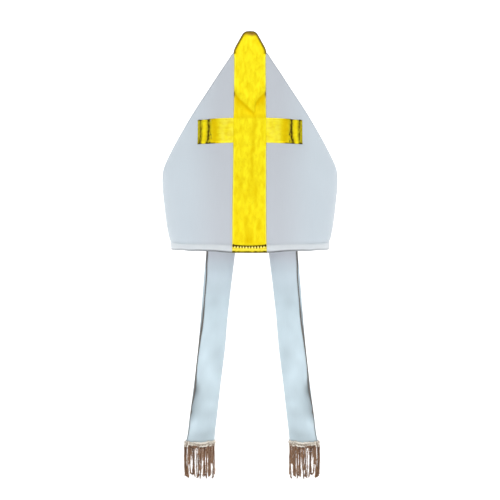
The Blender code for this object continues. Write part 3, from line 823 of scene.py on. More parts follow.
def make_materials():
    """All finishes, made once."""
    colours = bpy.context.scene.mitre_colours
    groups = {"satin_weave": satin_weave_group(), "soft_mottle": soft_mottle_group(),
              "foil_grain": foil_grain_group(), "cord_ply": cord_ply_group()}
    shield_tones = (colours.satin, colours.satin_shade, colours.satin_painted_shade)
    MATERIALS["satin"] = satin_material("shield_satin", shield_tones, colours, groups, 0.055,
                                        1.1, 0.55, 0.45)
    lappet_tones = (colours.lappet, colours.lappet_shade, colours.lappet_hem_shadow)
    MATERIALS["lappet"] = satin_material("lappet_satin", lappet_tones, colours, groups, 0.022,
                                         0.5, 0.76, 0.5)
    MATERIALS["foil"] = foil_material("gold_foil", colours.foil_crease_shade_and_wear, colours, groups)
    # The foil turned over the peak takes the darker painted shade.
    MATERIALS["foil_edge"] = foil_material("gold_foil_edge", colours.foil_edge, colours, groups)
    for word, name, light, dark, *finish in (
            ("core", "lappet_core", colours.lappet_core, colours.thread_shade, 0.0011, 0.95),
            ("gimp", "cream_gimp", colours.gimp, colours.gimp_shade, 0.0012, 0.75),
            ("cord", "brown_cord", colours.cord, colours.cord_shade, 0.0015, 0.75, 0.08, 0.35),
            ("thread", "hem_thread", colours.thread, colours.thread_shade, 0.0006, 0.8, 0.0, 0.05),
            ("white_thread", "white_hem_thread", colours.hem_thread_white, colours.satin_shade,
             0.0006, 0.6)):
        MATERIALS[word] = cord_material(name, light, dark, groups, *finish)
    MATERIALS["floor"] = stage_material("pale_floor", colours.floor, 0.35)


# ---------------------------------------------------------------- shields

OUTLINE_POINTS = 181     # points round the gold peak, with the peak's top in the middle
SHIELD_RUN = 0.3        # about the run round a shield, which sets the count of its columns
FOOT_REACH = 0.004       # closer rows on either side of the gold peak's foot


def foil_reach():
    """How far the face of a gold strip stands off the satin."""
    sizes = bpy.context.scene.mitre_sizes
    return sizes.foil_gap + sizes.foil_thickness


def gold_outline():
    """The gold peak's outline from the front, left foot over the top to the right foot,
    with the directions that point out of it."""
    left = [(-edge.half_width, 0.0, edge.height) for edge in PEAK_EDGES]
    right = [(-x, depth, height) for x, depth, height in left[::-1]]
    path = smooth_path(left + [(0.0, 0.0, PEAK_TOP)] + right, OUTLINE_POINTS)
    step = unit(np.gradient(path, axis=0))
    return path, np.stack([-step[:, 2], 0 * step[:, 1], step[:, 0]], axis=-1)


def half_inside_peak(height, inset):
    """Half width that stays inside the gold peak's outline by inset; wide below the peak."""
    path, outward = gold_outline()
    left = (path - outward * inset)[:OUTLINE_POINTS // 2 + 1]
    return np.interp(height, left[:, 2], -left[:, 0], left=1.0, right=0.0)


def section_curve(height, inset, limit, columns):
    """Even points along a shield's section, its ends cut back by inset and to a limit."""
    x = half_width(height) * np.sin(turns(-90, 90, 721))
    depth = shield_depth(x, height + 0 * x)
    run = lengths_along(np.stack([x, depth], axis=-1))
    start = max(inset, float(np.interp(-limit, x, run)))
    even = np.linspace(start, run[-1] - start, columns)
    return np.interp(even, run, x), np.interp(even, run, depth)


def shield_relief(x, height, seed):
    """Soft undulation of the stiffened satin and the puckered hem, outward in metres."""
    waves = rumple(x, height, seed, (0.00035, 0.055, 0.11), (0.00012, 0.018, 0.05))
    pucker = rumple(x, height, seed + 2, (0.00014, 0.006, 0.012))
    groove = 0.00008 * bell(height, HEM_HEIGHT + 0.0003, 0.0012)
    return (waves * smooth_step(HEM_HEIGHT, 0.035, height) + hem_puff(height) - groove
            + pucker * np.exp(-np.abs(height - HEM_HEIGHT) / 0.006))


def shield_heights(top):
    """Heights of a shield's rows: closer over the hem and at the foot of the gold peak."""
    step = bpy.context.scene.mitre_sizes.sheet_step
    hem_end = HEM_HEIGHT + 0.003
    foot = PEAK_EDGES[0].height
    return np.concatenate([np.linspace(WALL / 2, hem_end, 22),
                           np.arange(hem_end + step, foot - FOOT_REACH, step),
                           np.linspace(foot - FOOT_REACH, foot + FOOT_REACH, 14),
                           np.linspace(foot + FOOT_REACH, top, 16)[1:]])


def make_shield(name, facing, node, seed):
    """One satin shield. facing is -1 at the front and 1 at the back."""
    sizes = bpy.context.scene.mitre_sizes
    rim = WALL / 2
    front = facing < 0
    under_foil = rim + foil_reach() + 0.0001
    columns = int(SHIELD_RUN / sizes.sheet_step)
    rows = []
    for height in shield_heights(PEAK_TOP - under_foil - 0.0006 if front else PEAK - rim):
        past_plane = max(0.0, -float(column_at(SHIELD_SECTIONS, "edge_depth", height)))
        limit = half_inside_peak(height, under_foil) if front else 1.0
        x, depth = section_curve(height, rim + past_plane + sizes.seam_clear, limit, columns)
        x = x * (1 + through(SIDE_EASE, height) / half_width(height))
        rows.append(np.stack([x, -depth, np.full(columns, height)], axis=-1))
    face = np.stack(rows)
    x, height = face[..., 0].copy(), face[..., 2].copy()
    from_side = 1 - np.abs(np.linspace(-1, 1, columns))
    easing = np.where(height > HEM_HEIGHT, smooth_step(0.0, 0.03, from_side), 1.0)
    face = face + grid_normals(face) * (shield_relief(x, height, seed) * easing)[..., None]
    share = np.abs(x) / half_width(height)
    face[..., 2] += through(HEM_RISE, share) * fall(0.001, 0.01, height)

    across = lengths_along(face, 1)
    across = across - across[:, -1:] / 2
    cloth = np.stack([across, lengths_along(face)], axis=-1)
    from_edge = across[:, -1:] - np.abs(across)
    line_height = HEM_HEIGHT + through(HEM_LINE_LIFT, share)
    low = fall(0.04, 0.13, height)
    # Painted shade: darker and greyer towards the cross, and just under the bar.
    painted_shade = 0.95 * fall(0.036, 0.104, np.abs(x))
    painted_shade += 0.2 * bell(height, BAR_BOTTOM - 0.01, 0.014) * bell(x, 0.0, 0.07)
    # Painted light over the turned hem, a little uneven.
    hem_light = 0.8 + 0.12 * noise_field(x / 0.01, height / 0.006, seed + 3)
    # Painted shade along the line over the hem, along the side and top edges and along the hem's
    # lower fold.
    marks = {
        "seam": np.maximum.reduce([
            0.06 * bell(height, line_height + 0.0016, 0.0018),
            0.28 * bell(from_edge, 0.0, 0.0013) + 0.07 * low * bell(from_edge, 0.0, 0.007),
            0.28 * bell(height, PEAK - rim, 0.0012),
            through(HEM_SHADE, share) * fall(0.0014, 0.0038, height)]),
        "tint": np.clip(painted_shade, 0, 1) * (1.0 if front else 0.4),
        "raised": hem_light * fall(-0.002, 0.0006, height - line_height),
        "tone": 0.2 * noise_field(x / 0.07, height / 0.09, seed + 4)
        - 0.6 * bell(height, 0.02, 0.06) * smooth_step(0.055, 0.095, np.abs(x)),
    }
    if not front:
        face, cloth, marks = mirrored(face * (1.0, -1.0, 1.0), cloth, marks)
    shield = thick_sheet(name, face, WALL + hem_puff(height), cloth, marks, MATERIALS["satin"])
    keep(shield, [node])


def make_hem_running_stitch(name, facing):
    """Fine white running stitches along a shield's hem, clear of the gold."""
    draw = random.Random(61 + facing)
    dip = np.array([-0.00042, 0.0, 0.0001, 0.0001, 0.0, -0.00042])
    reach = half_width(HEM_HEIGHT) - 0.006
    tubes = []
    for side in (-1, 1):
        place = UPRIGHT_HALF_AT_HEM + 0.002 if facing < 0 else 0.001
        while place < reach:
            length = draw.uniform(0.0027, 0.0032)
            x = side * np.linspace(place, place + length, len(dip))
            height = HEM_HEIGHT + 0.0006 + draw.uniform(-0.00012, 0.00012) + 0 * x
            stitch = shield_face(x, height, dip)[0] * (1.0, -facing, 1.0)
            tubes.append((stitch, 0.00017, draw.uniform(0.7, 1.0)))
            slope = shield_depth(place, HEM_HEIGHT) - shield_depth(place + 0.001, HEM_HEIGHT)
            place += (length + 0.0007) / math.hypot(1.0, float(slope) / 0.001)
    keep(tube_bundle(name, tubes, 5, MATERIALS["white_thread"]))


class MITRE_OT_shields(bpy.types.Operator):
    """Make the front and back shields of stiffened satin with their stitched hems"""

    bl_idname = "mitre.shields"
    bl_label = "Satin Shields"

    def execute(self, context):
        make_shield("satin_front", -1, "front_shield", 3)
        make_shield("satin_back", 1, "back_shield", 7)
        make_hem_running_stitch("hem_thread_front", -1)
        make_hem_running_stitch("hem_thread_back", 1)
        return {"FINISHED"}


# ---------------------------------------------------------------- gold cross

PEAK_TUCK = 0.002       # how far the upright's edges lie inside the gold peak's outline
UNDER_HEM_TOP = 0.0085   # how high the upright's end goes inside the hem
FACE_FOOT = 0.0012       # where the upright's outer stretch starts above the fold
PEAK_FOOT = 0.292        # the turned foil of the peak starts a little above this height
TURNED_FIRST = 0.0008    # behind the peak the turned foil runs from here inside its outline
TURNED_LAST = 0.0055     # to here


def upright_half(height):
    """Half width of the upright on the shield's face, tucked under the turned peak."""
    share = np.clip(height, 0.0, PEAK) / PEAK
    strip = UPRIGHT_HALF_AT_HEM + share * (UPRIGHT_HALF_AT_PEAK - UPRIGHT_HALF_AT_HEM)
    strip = np.minimum(strip, half_width(height) - 0.0002)
    return np.minimum(strip, half_inside_peak(height, PEAK_TUCK))


def streak_share(streak, x, height):
    """1 along a streak of the upright, falling away to its sides and ends."""
    share = (height - streak.low) / (streak.high - streak.low)
    middle = streak.low_x + np.clip(share, 0, 1) * (streak.high_x - streak.low_x)
    middle = middle + 0.0004 * np.sin(height * 190 + streak.low_x * 900)
    ends = smooth_step(-0.1, 0.12, share) * fall(0.8, 1.1, share)
    return bell(x, middle, streak.reach) * ends


def over_bar(height):
    """1 where the upright lies over the bar."""
    return (smooth_step(BAR_BOTTOM - 0.015, BAR_BOTTOM - 0.0006, height)
            - smooth_step(BAR_TOP + 0.0006, BAR_TOP + 0.015, height))


def upright_relief(x, height):
    """Creases of the upright, outward in metres."""
    lively = 0.4 + 0.6 * fall(0.09, 0.19, height)
    calm_edge = smooth_step(0.0, 0.004, half_inside_peak(height, PEAK_TUCK) - np.abs(x))
    relief = rumple(x, height, 21, (0.00011, 0.0068, 0.034), (0.00006, 0.0034, 0.014))
    relief = relief * lively * calm_edge
    for streak in FOIL_STREAKS:
        relief -= 0.0002 * streak.depth * streak_share(streak, x, height)
    past = height - through(BEND_LINE, x)
    relief += 0.0003 * bell(past, 0.008, 0.009) - 0.00026 * bell(past, -0.0058, 0.006)
    fan = x / (1 + (height - HEM_HEIGHT) / 0.07)
    pucker = 0.00022 * np.cos(2 * math.pi * fan / 0.0082 + 0.9 * np.sin(fan * 260))
    relief += pucker * np.exp(-np.abs(height - 0.014) / 0.01) * (height > HEM_HEIGHT)
    edge = upright_half(height) - np.abs(x)
    rolled = 0.0002 * bell(edge, 0.001, 0.0009) * (1 - over_bar(height))
    return relief + rolled * fall(0.288, 0.296, height)


def stitch_dots(x, height):
    """Puckers of the gold hem between the legs of its stitches."""
    between = np.cos(math.pi * x / bpy.context.scene.mitre_sizes.stitch_pitch)**2
    middle = HEM_HEIGHT - 0.0033 + 0.0008 * (x / UPRIGHT_HALF_AT_HEM)**2
    return between * bell(height, middle, 0.0014) * (np.abs(x) < 0.0235)


def upright_marks(x, height):
    """Marks of the upright's outer stretch that paint amber shade, dark shade in creases, glints
    and a dark top.
    """
    past = height - through(BEND_LINE, x)
    edge = upright_half(height) - np.abs(x)
    outline = half_inside_peak(height, 0.0) - np.abs(x)

    # Painted amber shade: in and below the bend's fold, along the streaks, in soft blotches,
    # towards the hem, below the bead row and near the peak's outline.
    side = smooth_step(0.0, 0.004, -x) + smooth_step(0.007, 0.011, x)
    fold = 0.42 + 0.22 * side * smooth_step(0.215, 0.224, height)
    amber_shade = fold * fall(-0.005, -0.001, past)
    amber_shade += 0.38 * bell(past, -0.0066, 0.006) * smooth_step(0.202, 0.212, height)
    amber_shade *= smooth_step(BEND_FOOT - 0.003, BEND_FOOT + 0.001, height)
    for streak in FOIL_STREAKS:
        amber_shade += streak.depth * streak_share(streak, x, height)
    blotch = noise_field(x / 0.0052 + 1.5 * np.sin(height * 60), height / 0.013, 24)
    calm = 1 - 0.6 * smooth_step(0.235, 0.25, height)
    amber_shade += 0.2 * smooth_step(-0.15, 0.55, blotch) * calm
    amber_shade += 0.16 * fall(0.03, 0.125, height)
    amber_shade += 0.16 * fall(0.014, 0.038, height)
    amber_shade += 0.45 * bell(height, HEM_HEIGHT - 0.0052, 0.0007)
    amber_shade += 0.25 * bell(outline, 0.0035, 0.004) * (height > PEAK_FOOT)

    # Painted dark shade: spots at the edges by the bend, along the stitch line, along the fold at
    # the foot, along the turned peak and on the top.
    spots = bell(edge, 0.0, 0.0018) * bell(height, 0.2357, 0.0046)
    seam = 0.6 * bell(height, HEM_HEIGHT - 0.001, 0.0012)
    foot = (0.66 + 0.4 * noise_field(x / 0.0045, 0 * height, 25)
            + 0.3 * smooth_step(0.019, 0.023, np.abs(x)))
    # Painted dark top of the peak.
    top = smooth_step(PEAK_TOP - 0.01, PEAK_TOP - 0.0038, height - 0.28 * np.abs(x - 0.0035))
    crease = 0.85 * spots + seam + foot * fall(0.0023, 0.0035, height)
    crease += 0.42 * bell(outline, 0.0024, 0.0014) * (height > 0.294) + 0.15 * top

    rim = bell(edge, 0.0003, 0.0011) * (1 - spots) * (1 - over_bar(height))
    glint = 1.1 * stitch_dots(x, height) + 0.22 * bell(height, 0.0043, 0.0014)
    glint += 0.36 * rim * (height < PEAK_FOOT)
    return {"amber_shade": np.clip(amber_shade, 0, 1), "crease": np.clip(crease, 0, 1),
            "glint": np.clip(glint, 0, 1) * (1 - np.clip(seam, 0, 1)), "top_shade": 0.95 * top}


def make_upright():
    """The upright from inside the hem, round under it and up to the peak."""
    sizes = bpy.context.scene.mitre_sizes
    share = np.linspace(-1, 1, 62)
    share = share * (1 + 0.1 * (1 - share**2))
    heights = np.concatenate([np.linspace(FACE_FOOT, 0.016, 34),
                              np.linspace(0.016, PEAK_TOP - 0.0026, 262)[1:]])
    height = np.repeat(heights[:, None], len(share), axis=1)
    x = upright_half(height) * share
    lift = (sizes.foil_thickness + 0.0001) * over_bar(height)
    out = (foil_reach() + hem_puff(height) + lift + 0.00045 * stitch_dots(x, height)
           + upright_relief(x, height))
    outside, ahead = shield_face(x + through(UPRIGHT_LEAN, height), height, out)

    turn_radius = (WALL + sizes.foil_gap * 2 + sizes.foil_thickness) / 2 + 0.0002
    foot = outside[0]
    foot_ahead = unit(ahead[0] * (1.0, 1.0, 0.0))
    under = [foot - foot_ahead * 2 * turn_radius + np.array([0.0, 0.0, h - foot[0, 2]])
             for h in np.linspace(UNDER_HEM_TOP, FACE_FOOT, 6)]
    for turn in turns(170, 20, 9):
        drop = np.array([0.0, 0.0, -math.sin(turn)])
        under.append(foot + (foot_ahead * (math.cos(turn) - 1) + drop) * turn_radius)
    points = np.concatenate([np.stack(under), outside])

    # The rows turned under the hem are darkened with painted shade.
    marks = {label: np.pad(grid, ((len(under), 0), (0, 0)),
                           constant_values=0.9 if label == "crease" else 0.0)
             for label, grid in upright_marks(x, height).items()}
    cloth = np.stack([points[..., 0], lengths_along(points)], axis=-1)
    upright = thick_sheet("foil_upright", points, sizes.foil_thickness, cloth, marks,
                          MATERIALS["foil"])
    keep(upright, ["cross_upright"])


def make_peak_turn():
    """The foil's allowance turned over the slanting edges and the top of the peak."""
    outline, outward = gold_outline()
    x, height = outline[:, 0], outline[:, 2]
    reach = half_width(np.minimum(height, PEAK)) * 0.985
    base, ahead = shield_face(np.clip(x, -reach, reach), np.minimum(height, PEAK - 0.001))
    base[:, 0], base[:, 2] = x, height
    outward = unit(outward - ahead * np.sum(outward * ahead, axis=1, keepdims=True))

    back_radius = WALL / 2 + foil_reach()
    front_radius = WALL / 2 + 2 * foil_reach()
    centre = base - ahead * (WALL / 2) - outward * (back_radius - 0.0005)
    profile = [centre + ahead * front_radius - outward * inset
               for inset in (0.0015, 0.001, 0.0005)]
    for turn in turns(0, 180, 15):
        radius = front_radius if turn < math.pi / 2 else back_radius
        profile.append(centre + ahead * radius * math.cos(turn)
                       + outward * back_radius * math.sin(turn))
    for inset in np.linspace(TURNED_FIRST, TURNED_LAST, 6):
        wave = 0.0006 * noise_field(np.arange(len(base)) / 14.0, inset * 300 + 0 * x, 4)
        profile.append(centre - ahead * back_radius - outward * (inset + wave)[:, None])
    points = np.stack(profile)
    cloth = np.stack([lengths_along(points, 1), lengths_along(points)], axis=-1)
    # Painted dark shade over the turned edge, and painted amber shade all over it.
    around = np.linspace(0, 1, len(profile))[:, None]
    crease = 0.96 * fall(0.46, 0.7, around)
    crease = crease + 0.08 * noise_field(points[..., 2] / 0.006, around * 4, 6)
    crease -= 0.3 * bell(around, 0.0, 0.06) + 0.16 * bell(around, 0.44, 0.1)
    turned = thick_sheet("foil_peak_turn", points,
                         bpy.context.scene.mitre_sizes.foil_thickness, cloth,
                         {"amber_shade": 0.4, "crease": np.clip(crease, 0, 1)}, MATERIALS["foil_edge"])
    keep(turned)


def bar_crease(crease, x, height):
    """Signed distance from a crease of the bar that is darkened with painted shade, outward from
    the middle.
    """
    down = (BAR_TOP - height) / (BAR_TOP - BAR_BOTTOM)
    place = through(((0.0, crease.top), (0.66, crease.low), (1.0, crease.bottom)), down)
    return np.abs(x) - place + 0.0006 * noise_field(height / 0.008, 0 * x + np.sign(x), 34)


def bar_relief(x, height):
    """Creases of the bar and the ridges over its turned-under ends, outward in metres."""
    past = bar_crease(BAR_CREASES[0], x, height)
    relief = rumple(x, height, 31, (0.00006, 0.0075, 0.03), (0.00006, 0.012, 0.015))
    relief += 0.00055 * smooth_step(-0.0015, 0.003, past) - 0.0005 * bell(past, 0.0, 0.0014)
    relief += 0.00036 * bell(past, 0.0084, 0.004) + 0.0002 * bell(past, -0.0062, 0.005)
    return relief - 0.0005 * smooth_step(0.013, 0.0165, past)


def bar_marks(x, height, flat_height, up, edge):
    """Marks of the bar that paint amber shade, glints and dark shade in creases. up is 0 at its
    foot and 1 at its top.
    """
    reach = np.abs(x)
    patch = noise_field(x / 0.0022, height / 0.0042, 36)
    # Painted amber shade in two bands towards the ends and in soft blotches.
    amber_shade = 0.8 * bell(reach, 0.0528, 0.0052) + 0.25 * bell(reach, 0.0665, 0.0018)
    amber_shade += 0.22 * smooth_step(0.0, 0.6, noise_field(x / 0.006, height / 0.009, 37))
    glint = 0.45 * smooth_step(0.2, 0.55, patch) * bell(reach, 0.059, 0.0014)
    calm = fall(0.0425, 0.048, reach)
    glint += 0.09 * calm * (1 + noise_field(x / 0.005, height / 0.008, 38))
    # Painted dark shade over the turned-under ends, in specks and along the creases.
    turned_end = smooth_step(0.05, 0.054, reach) * (0.3 + 0.62 * (up < 0.5))
    crease = turned_end * bell(edge, 0.0, 0.0013) * (reach < 0.0665)
    specks = smooth_step(0.0, 0.4, patch) * bell(reach, 0.059, 0.0018)
    crease += 0.85 * fall(0.3, 0.55, up) * specks
    crease += 0.5 * smooth_step(0.07, 0.073, reach) * bell(edge, 0.0, 0.0016)
    broken = 0.85 + 0.6 * np.clip(patch, -0.8, 0.5)
    for line in BAR_CREASES:
        far = bar_crease(line, x, flat_height)
        crease += line.strength * bell(far, 0.0, line.reach) * broken
    return {"amber_shade": np.clip(amber_shade, 0, 1), "glint": np.clip(glint, 0, 1),
            "crease": np.clip(crease, 0, 1)}


def make_bar():
    """The bar, close on the shield under the upright."""
    x_line = np.linspace(-BAR_HALF_SPAN + 0.0003, BAR_HALF_SPAN - 0.0003, 220)
    up = np.linspace(0.004, 0.996, 36)[:, None]
    x = np.repeat(x_line[None, :], len(up), axis=0)
    reach = np.abs(x)
    corner = smooth_step(0.059, 0.0665, reach) * (1 - 0.5 * (reach > 0.0735))
    flat_height = BAR_BOTTOM + up * (BAR_TOP - BAR_BOTTOM)
    height = (flat_height - BAR_END_DROOP * (x / BAR_HALF_SPAN)**2
              - BAR_CORNER_CUT * corner * up)
    clear = smooth_step(UPRIGHT_HALF_AT_HEM - 0.002, UPRIGHT_HALF_AT_HEM + 0.004, reach)
    edge = np.minimum(up, 1 - up) * (BAR_TOP - BAR_BOTTOM)
    relief = bar_relief(x, flat_height) + 0.00016 * bell(edge, 0.001, 0.0009)
    out = foil_reach() + np.maximum(relief * (0.1 + 0.9 * clear), -0.00015)
    points = shield_face(x, height, out - 0.0001 * (1 - clear))[0]
    cloth = np.stack([height - BAR_BOTTOM, lengths_along(points, 1)], axis=-1)
    bar = thick_sheet("foil_bar", points, bpy.context.scene.mitre_sizes.foil_thickness, cloth,
                      bar_marks(x, height, flat_height, up, edge), MATERIALS["foil"])
    keep(bar, ["cross_bar"])


def make_hem_stitches():
    """The dark stitching across the gold hem: a line of thread with short legs."""
    sizes = bpy.context.scene.mitre_sizes
    draw = random.Random(5)
    half = UPRIGHT_HALF_AT_HEM - 0.001
    lean = float(through(UPRIGHT_LEAN, HEM_HEIGHT))
    lift = foil_reach() + 0.0003
    x = np.linspace(-half, half, 120)
    line_height = HEM_HEIGHT - 0.0017 + 0.002 * (x / half)**2
    wander = 0.0002 * noise_field(x / 0.004, 0 * x, 9)
    line = shield_face(x + lean, line_height + wander, lift + 0.0003)[0]
    thick = 0.72 + 0.95 * bell(np.abs(x), half, 0.002) + 0.45 * noise_field(x / 0.003, 0 * x, 8)
    tubes = [(line, sizes.thread_radius * thick, 0.5)]
    count = int(half / sizes.stitch_pitch)
    down = np.linspace(0, 1, 9)
    for i in range(-count - 1, count + 1):
        place = (i + 0.5) * sizes.stitch_pitch + draw.uniform(-0.0002, 0.0002)
        length = draw.uniform(0.0026, 0.0036)
        slant = draw.uniform(-0.0003, 0.0003)
        leg_height = float(np.interp(place, x, line_height)) - length * down
        out = lift + 0.0001 + hem_puff(leg_height) - 0.0006 * down**6
        leg = shield_face(place + lean + slant * down, leg_height, out)[0]
        tubes.append((leg, sizes.thread_radius * np.linspace(1.45, 0.8, len(down)),
                      draw.uniform(0.2, 0.8)))
    keep(tube_bundle("hem_stitches", tubes, 8, MATERIALS["thread"]))


class MITRE_OT_cross(bpy.types.Operator):
    """Lay the gold foil bar and upright, turn the foil over the peak and stitch its hem"""

    bl_idname = "mitre.cross"
    bl_label = "Gold Foil Cross"

    def execute(self, context):
        make_bar()
        make_upright()
        make_peak_turn()
        make_hem_stitches()
        return {"FINISHED"}


# ---------------------------------------------------------------- gimp and fringe

HEAD_WIDTH = HEAD_OUTER - HEAD_INNER
PLAIT_PITCH = 0.0064
PLAIT_RADIUS = 0.00072
STITCH_SPAN = 0.062      # length of a stitch of the plait as a share of the head's width
CORD_TWIST = 0.0058      # length in which a cord's strands go round once
CORD_STEPS = (0.0, 0.08, 0.22, 0.38, 0.55, 0.72, 0.88, 1.0)
CURL_RADIUS = 0.002
HAIRS = 12               # loose hairs of a cord, the last five of them near its tip
HAIR_RADIUS = 0.00016
SEWN_RADIUS = 0.0009    # of the cords' ends lapped over the gimp's foot, and of the dark thread there that paints the shadow under the gimp

# Loose loops of the gimp: place along it, share of its height, size in metres and tone.
GIMP_LOOPS = (
    (0.02, 0.16, 0.0016, 0.35), (0.012, 0.52, 0.0013, 1.5), (0.05, 0.4, 0.002, 0.4),
    (0.055, 0.12, 0.0012, 1.6), (0.09, 0.3, 0.0015, 1.5), (0.118, 0.06, 0.0011, 0.4),
    (0.03, 0.86, 0.0016, 1.1), (0.105, 0.92, 0.0014, 0.6), (0.175, 0.1, 0.001, 0.5),
    (0.99, 0.24, 0.0014, 0.45), (0.965, 0.1, 0.001, 1.5), (0.97, 0.8, 0.0013, 0.8))

# Threads laid along the gimp: start, end, distance below its top, radius and tone.
GIMP_THREADS = ((0.33, 0.76, 0.0011, 0.001, 3.0), (0.31, 0.5, 0.0029, 0.00046, 0.12),
                (0.5, 0.95, 0.0036, 0.00038, 0.3), (0.52, 0.76, 0.0062, 0.0007, 2.2))


def head_point(side, along, down, out):
    """A point of the gimp head. along is 0 outside, 1 inside; out is towards the front."""
    along = np.asarray(along, float)
    distance = HEAD_OUTER - HEAD_WIDTH * along
    depth = lappet_depth(side, distance, LAPPET_END + 0 * along, along) - out
    sag = END_BOW * (1 - (2 * np.clip(along, 0, 1) - 1)**2)
    wave = 0.0004 * np.sin(along * 19.0) + 0.0003 * np.sin(along * 41.0 + 1.0)
    return np.stack([PAIR_ASIDE + side * distance, depth, HEAD_TOP - sag - down + wave],
                    axis=-1)


def make_gimp_tape(word, side):
    """The folded tape inside the gimp."""
    height = bpy.context.scene.mitre_sizes.gimp_height
    along = np.linspace(0.05, 0.985, 60)
    rows = []
    for turn in turns(90, -270, 17)[:-1]:
        down = height / 2 - math.sin(turn) * (height / 2 - 0.001)
        rows.append(head_point(side, along, down, 0.0019 * math.cos(turn)))
    tape = np.stack(rows + rows[:1])
    if side < 0:
        tape = tape[:, ::-1]
    cloth = np.stack([lengths_along(tape), lengths_along(tape, 1)], axis=-1)
    piece = thick_sheet(f"gimp_{word}_tape", tape, 0.0005, cloth, {"tone": 0.55},
                        MATERIALS["gimp"], 3)
    keep(piece)


def make_gimp(word, side):
    """The gimp over its tape: a white plait, a peach cord and a few loose loops."""
    draw = random.Random(13)
    height = bpy.context.scene.mitre_sizes.gimp_height
    along = np.linspace(0.045, 0.99, 150)
    run = along * HEAD_WIDTH
    share = np.linspace(-0.5, 0.5, 7)
    tubes = []
    for face in (1, -1):
        for phase in (0.0, math.pi):
            turn = (2 * math.pi * run / PLAIT_PITCH + phase
                    + 1.2 * noise_field(run / 0.009, phase + 0 * run, 51))
            path = head_point(side, along, height * (0.25 + 0.24 * np.sin(turn)),
                              face * (0.003 + 0.0005 * np.cos(turn)))
            tubes.append((path, PLAIT_RADIUS, draw.uniform(1.9, 2.3)))
        for start, end, tone in ((0.03, 0.4, 0.3), (0.74, 0.99, 0.4)):
            part = np.linspace(start, end, 50)
            edge = -height * 0.03 + 0.0005 * np.sin(part * 70) + 0.0003 * np.sin(part * 151)
            tubes.append((head_point(side, part, edge, face * 0.0026), 0.00034, tone))
        place = 0.052
        while place < 0.985:
            tone = draw.choice((0.08, 0.5, 1.2, 2.2, 2.4))
            slope = draw.uniform(0.8, 1.2)
            row = 0.6 if 0.08 < place < 0.42 else 0.74
            down = row - 0.34 * slope * share + draw.uniform(-0.08, 0.08)
            stitch = head_point(side, place + STITCH_SPAN * share, height * down,
                                face * (0.0028 + 0.001 * np.cos(math.pi * share)))
            tubes.append((stitch, draw.uniform(0.00062, 0.0009), tone))
            place += draw.uniform(0.036, 0.06)
    turn = turns(-80, 260, 30)
    for place, low, size, tone in GIMP_LOOPS:
        loop = head_point(side, place + 0.026 * np.cos(turn), height * low
                          + size * np.sin(turn), 0.0036 + 0.0008 * np.cos(turn))
        tubes.append((loop, 0.00042, tone))
    for start, end, down, radius, tone in GIMP_THREADS:
        part = np.linspace(start, end, 40)
        line = head_point(side, part, down + 0.0003 * np.sin(part * 31), 0.0044)
        tubes.append((line, radius, tone))
    drop = np.linspace(0.0, 0.0078, 24)
    for place, radius, tone in ((0.1, 0.0005, 0.1), (0.135, 0.00075, 2.6)):
        hanging = head_point(side, place + 0.012 * np.sin(drop * 700), drop, 0.0046)
        tubes.append((hanging, radius, tone))
    gimp = tube_bundle(f"gimp_{word}", tubes, 7, MATERIALS["gimp"])
    keep(gimp, [f"fringe_{word}"])


def cord_path(side, cord, top_down, draw):
    """The path of one fringe cord from inside the gimp to its curled tip."""
    top_place = HEAD_OUTER - FRINGE_OUTER + cord.top / 1000
    top = head_point(side, top_place / HEAD_WIDTH, top_down, 0.0013 * cord.layer)
    points = []
    for share in CORD_STEPS:
        place = (cord.top * (1 - share) * (1 - 2 * share) + 4 * cord.middle * share
                 * (1 - share) + cord.tip * share * (2 * share - 1))
        place += draw.uniform(-0.22, 0.22) * min(1.0, 4 * share)
        depth = 0.0007 * math.sin(5 * share + cord.top * 0.3) + 0.0004 * cord.layer * share
        points.append(top + np.array([-side * (place - cord.top) / 1000, depth,
                                      -(top[2] + cord.end / 1000) * share]))
    tip = points[-1]
    for part in (0.35, 0.7, 1.0):
        angle = math.radians(abs(cord.curl)) * part
        aside = math.copysign(CURL_RADIUS, cord.curl) * (1 - math.cos(angle))
        points.append(tip + np.array([-side * aside, 0.0004 * part,
                                      -CURL_RADIUS * math.sin(angle)]))
    return smooth_path(points, 90)


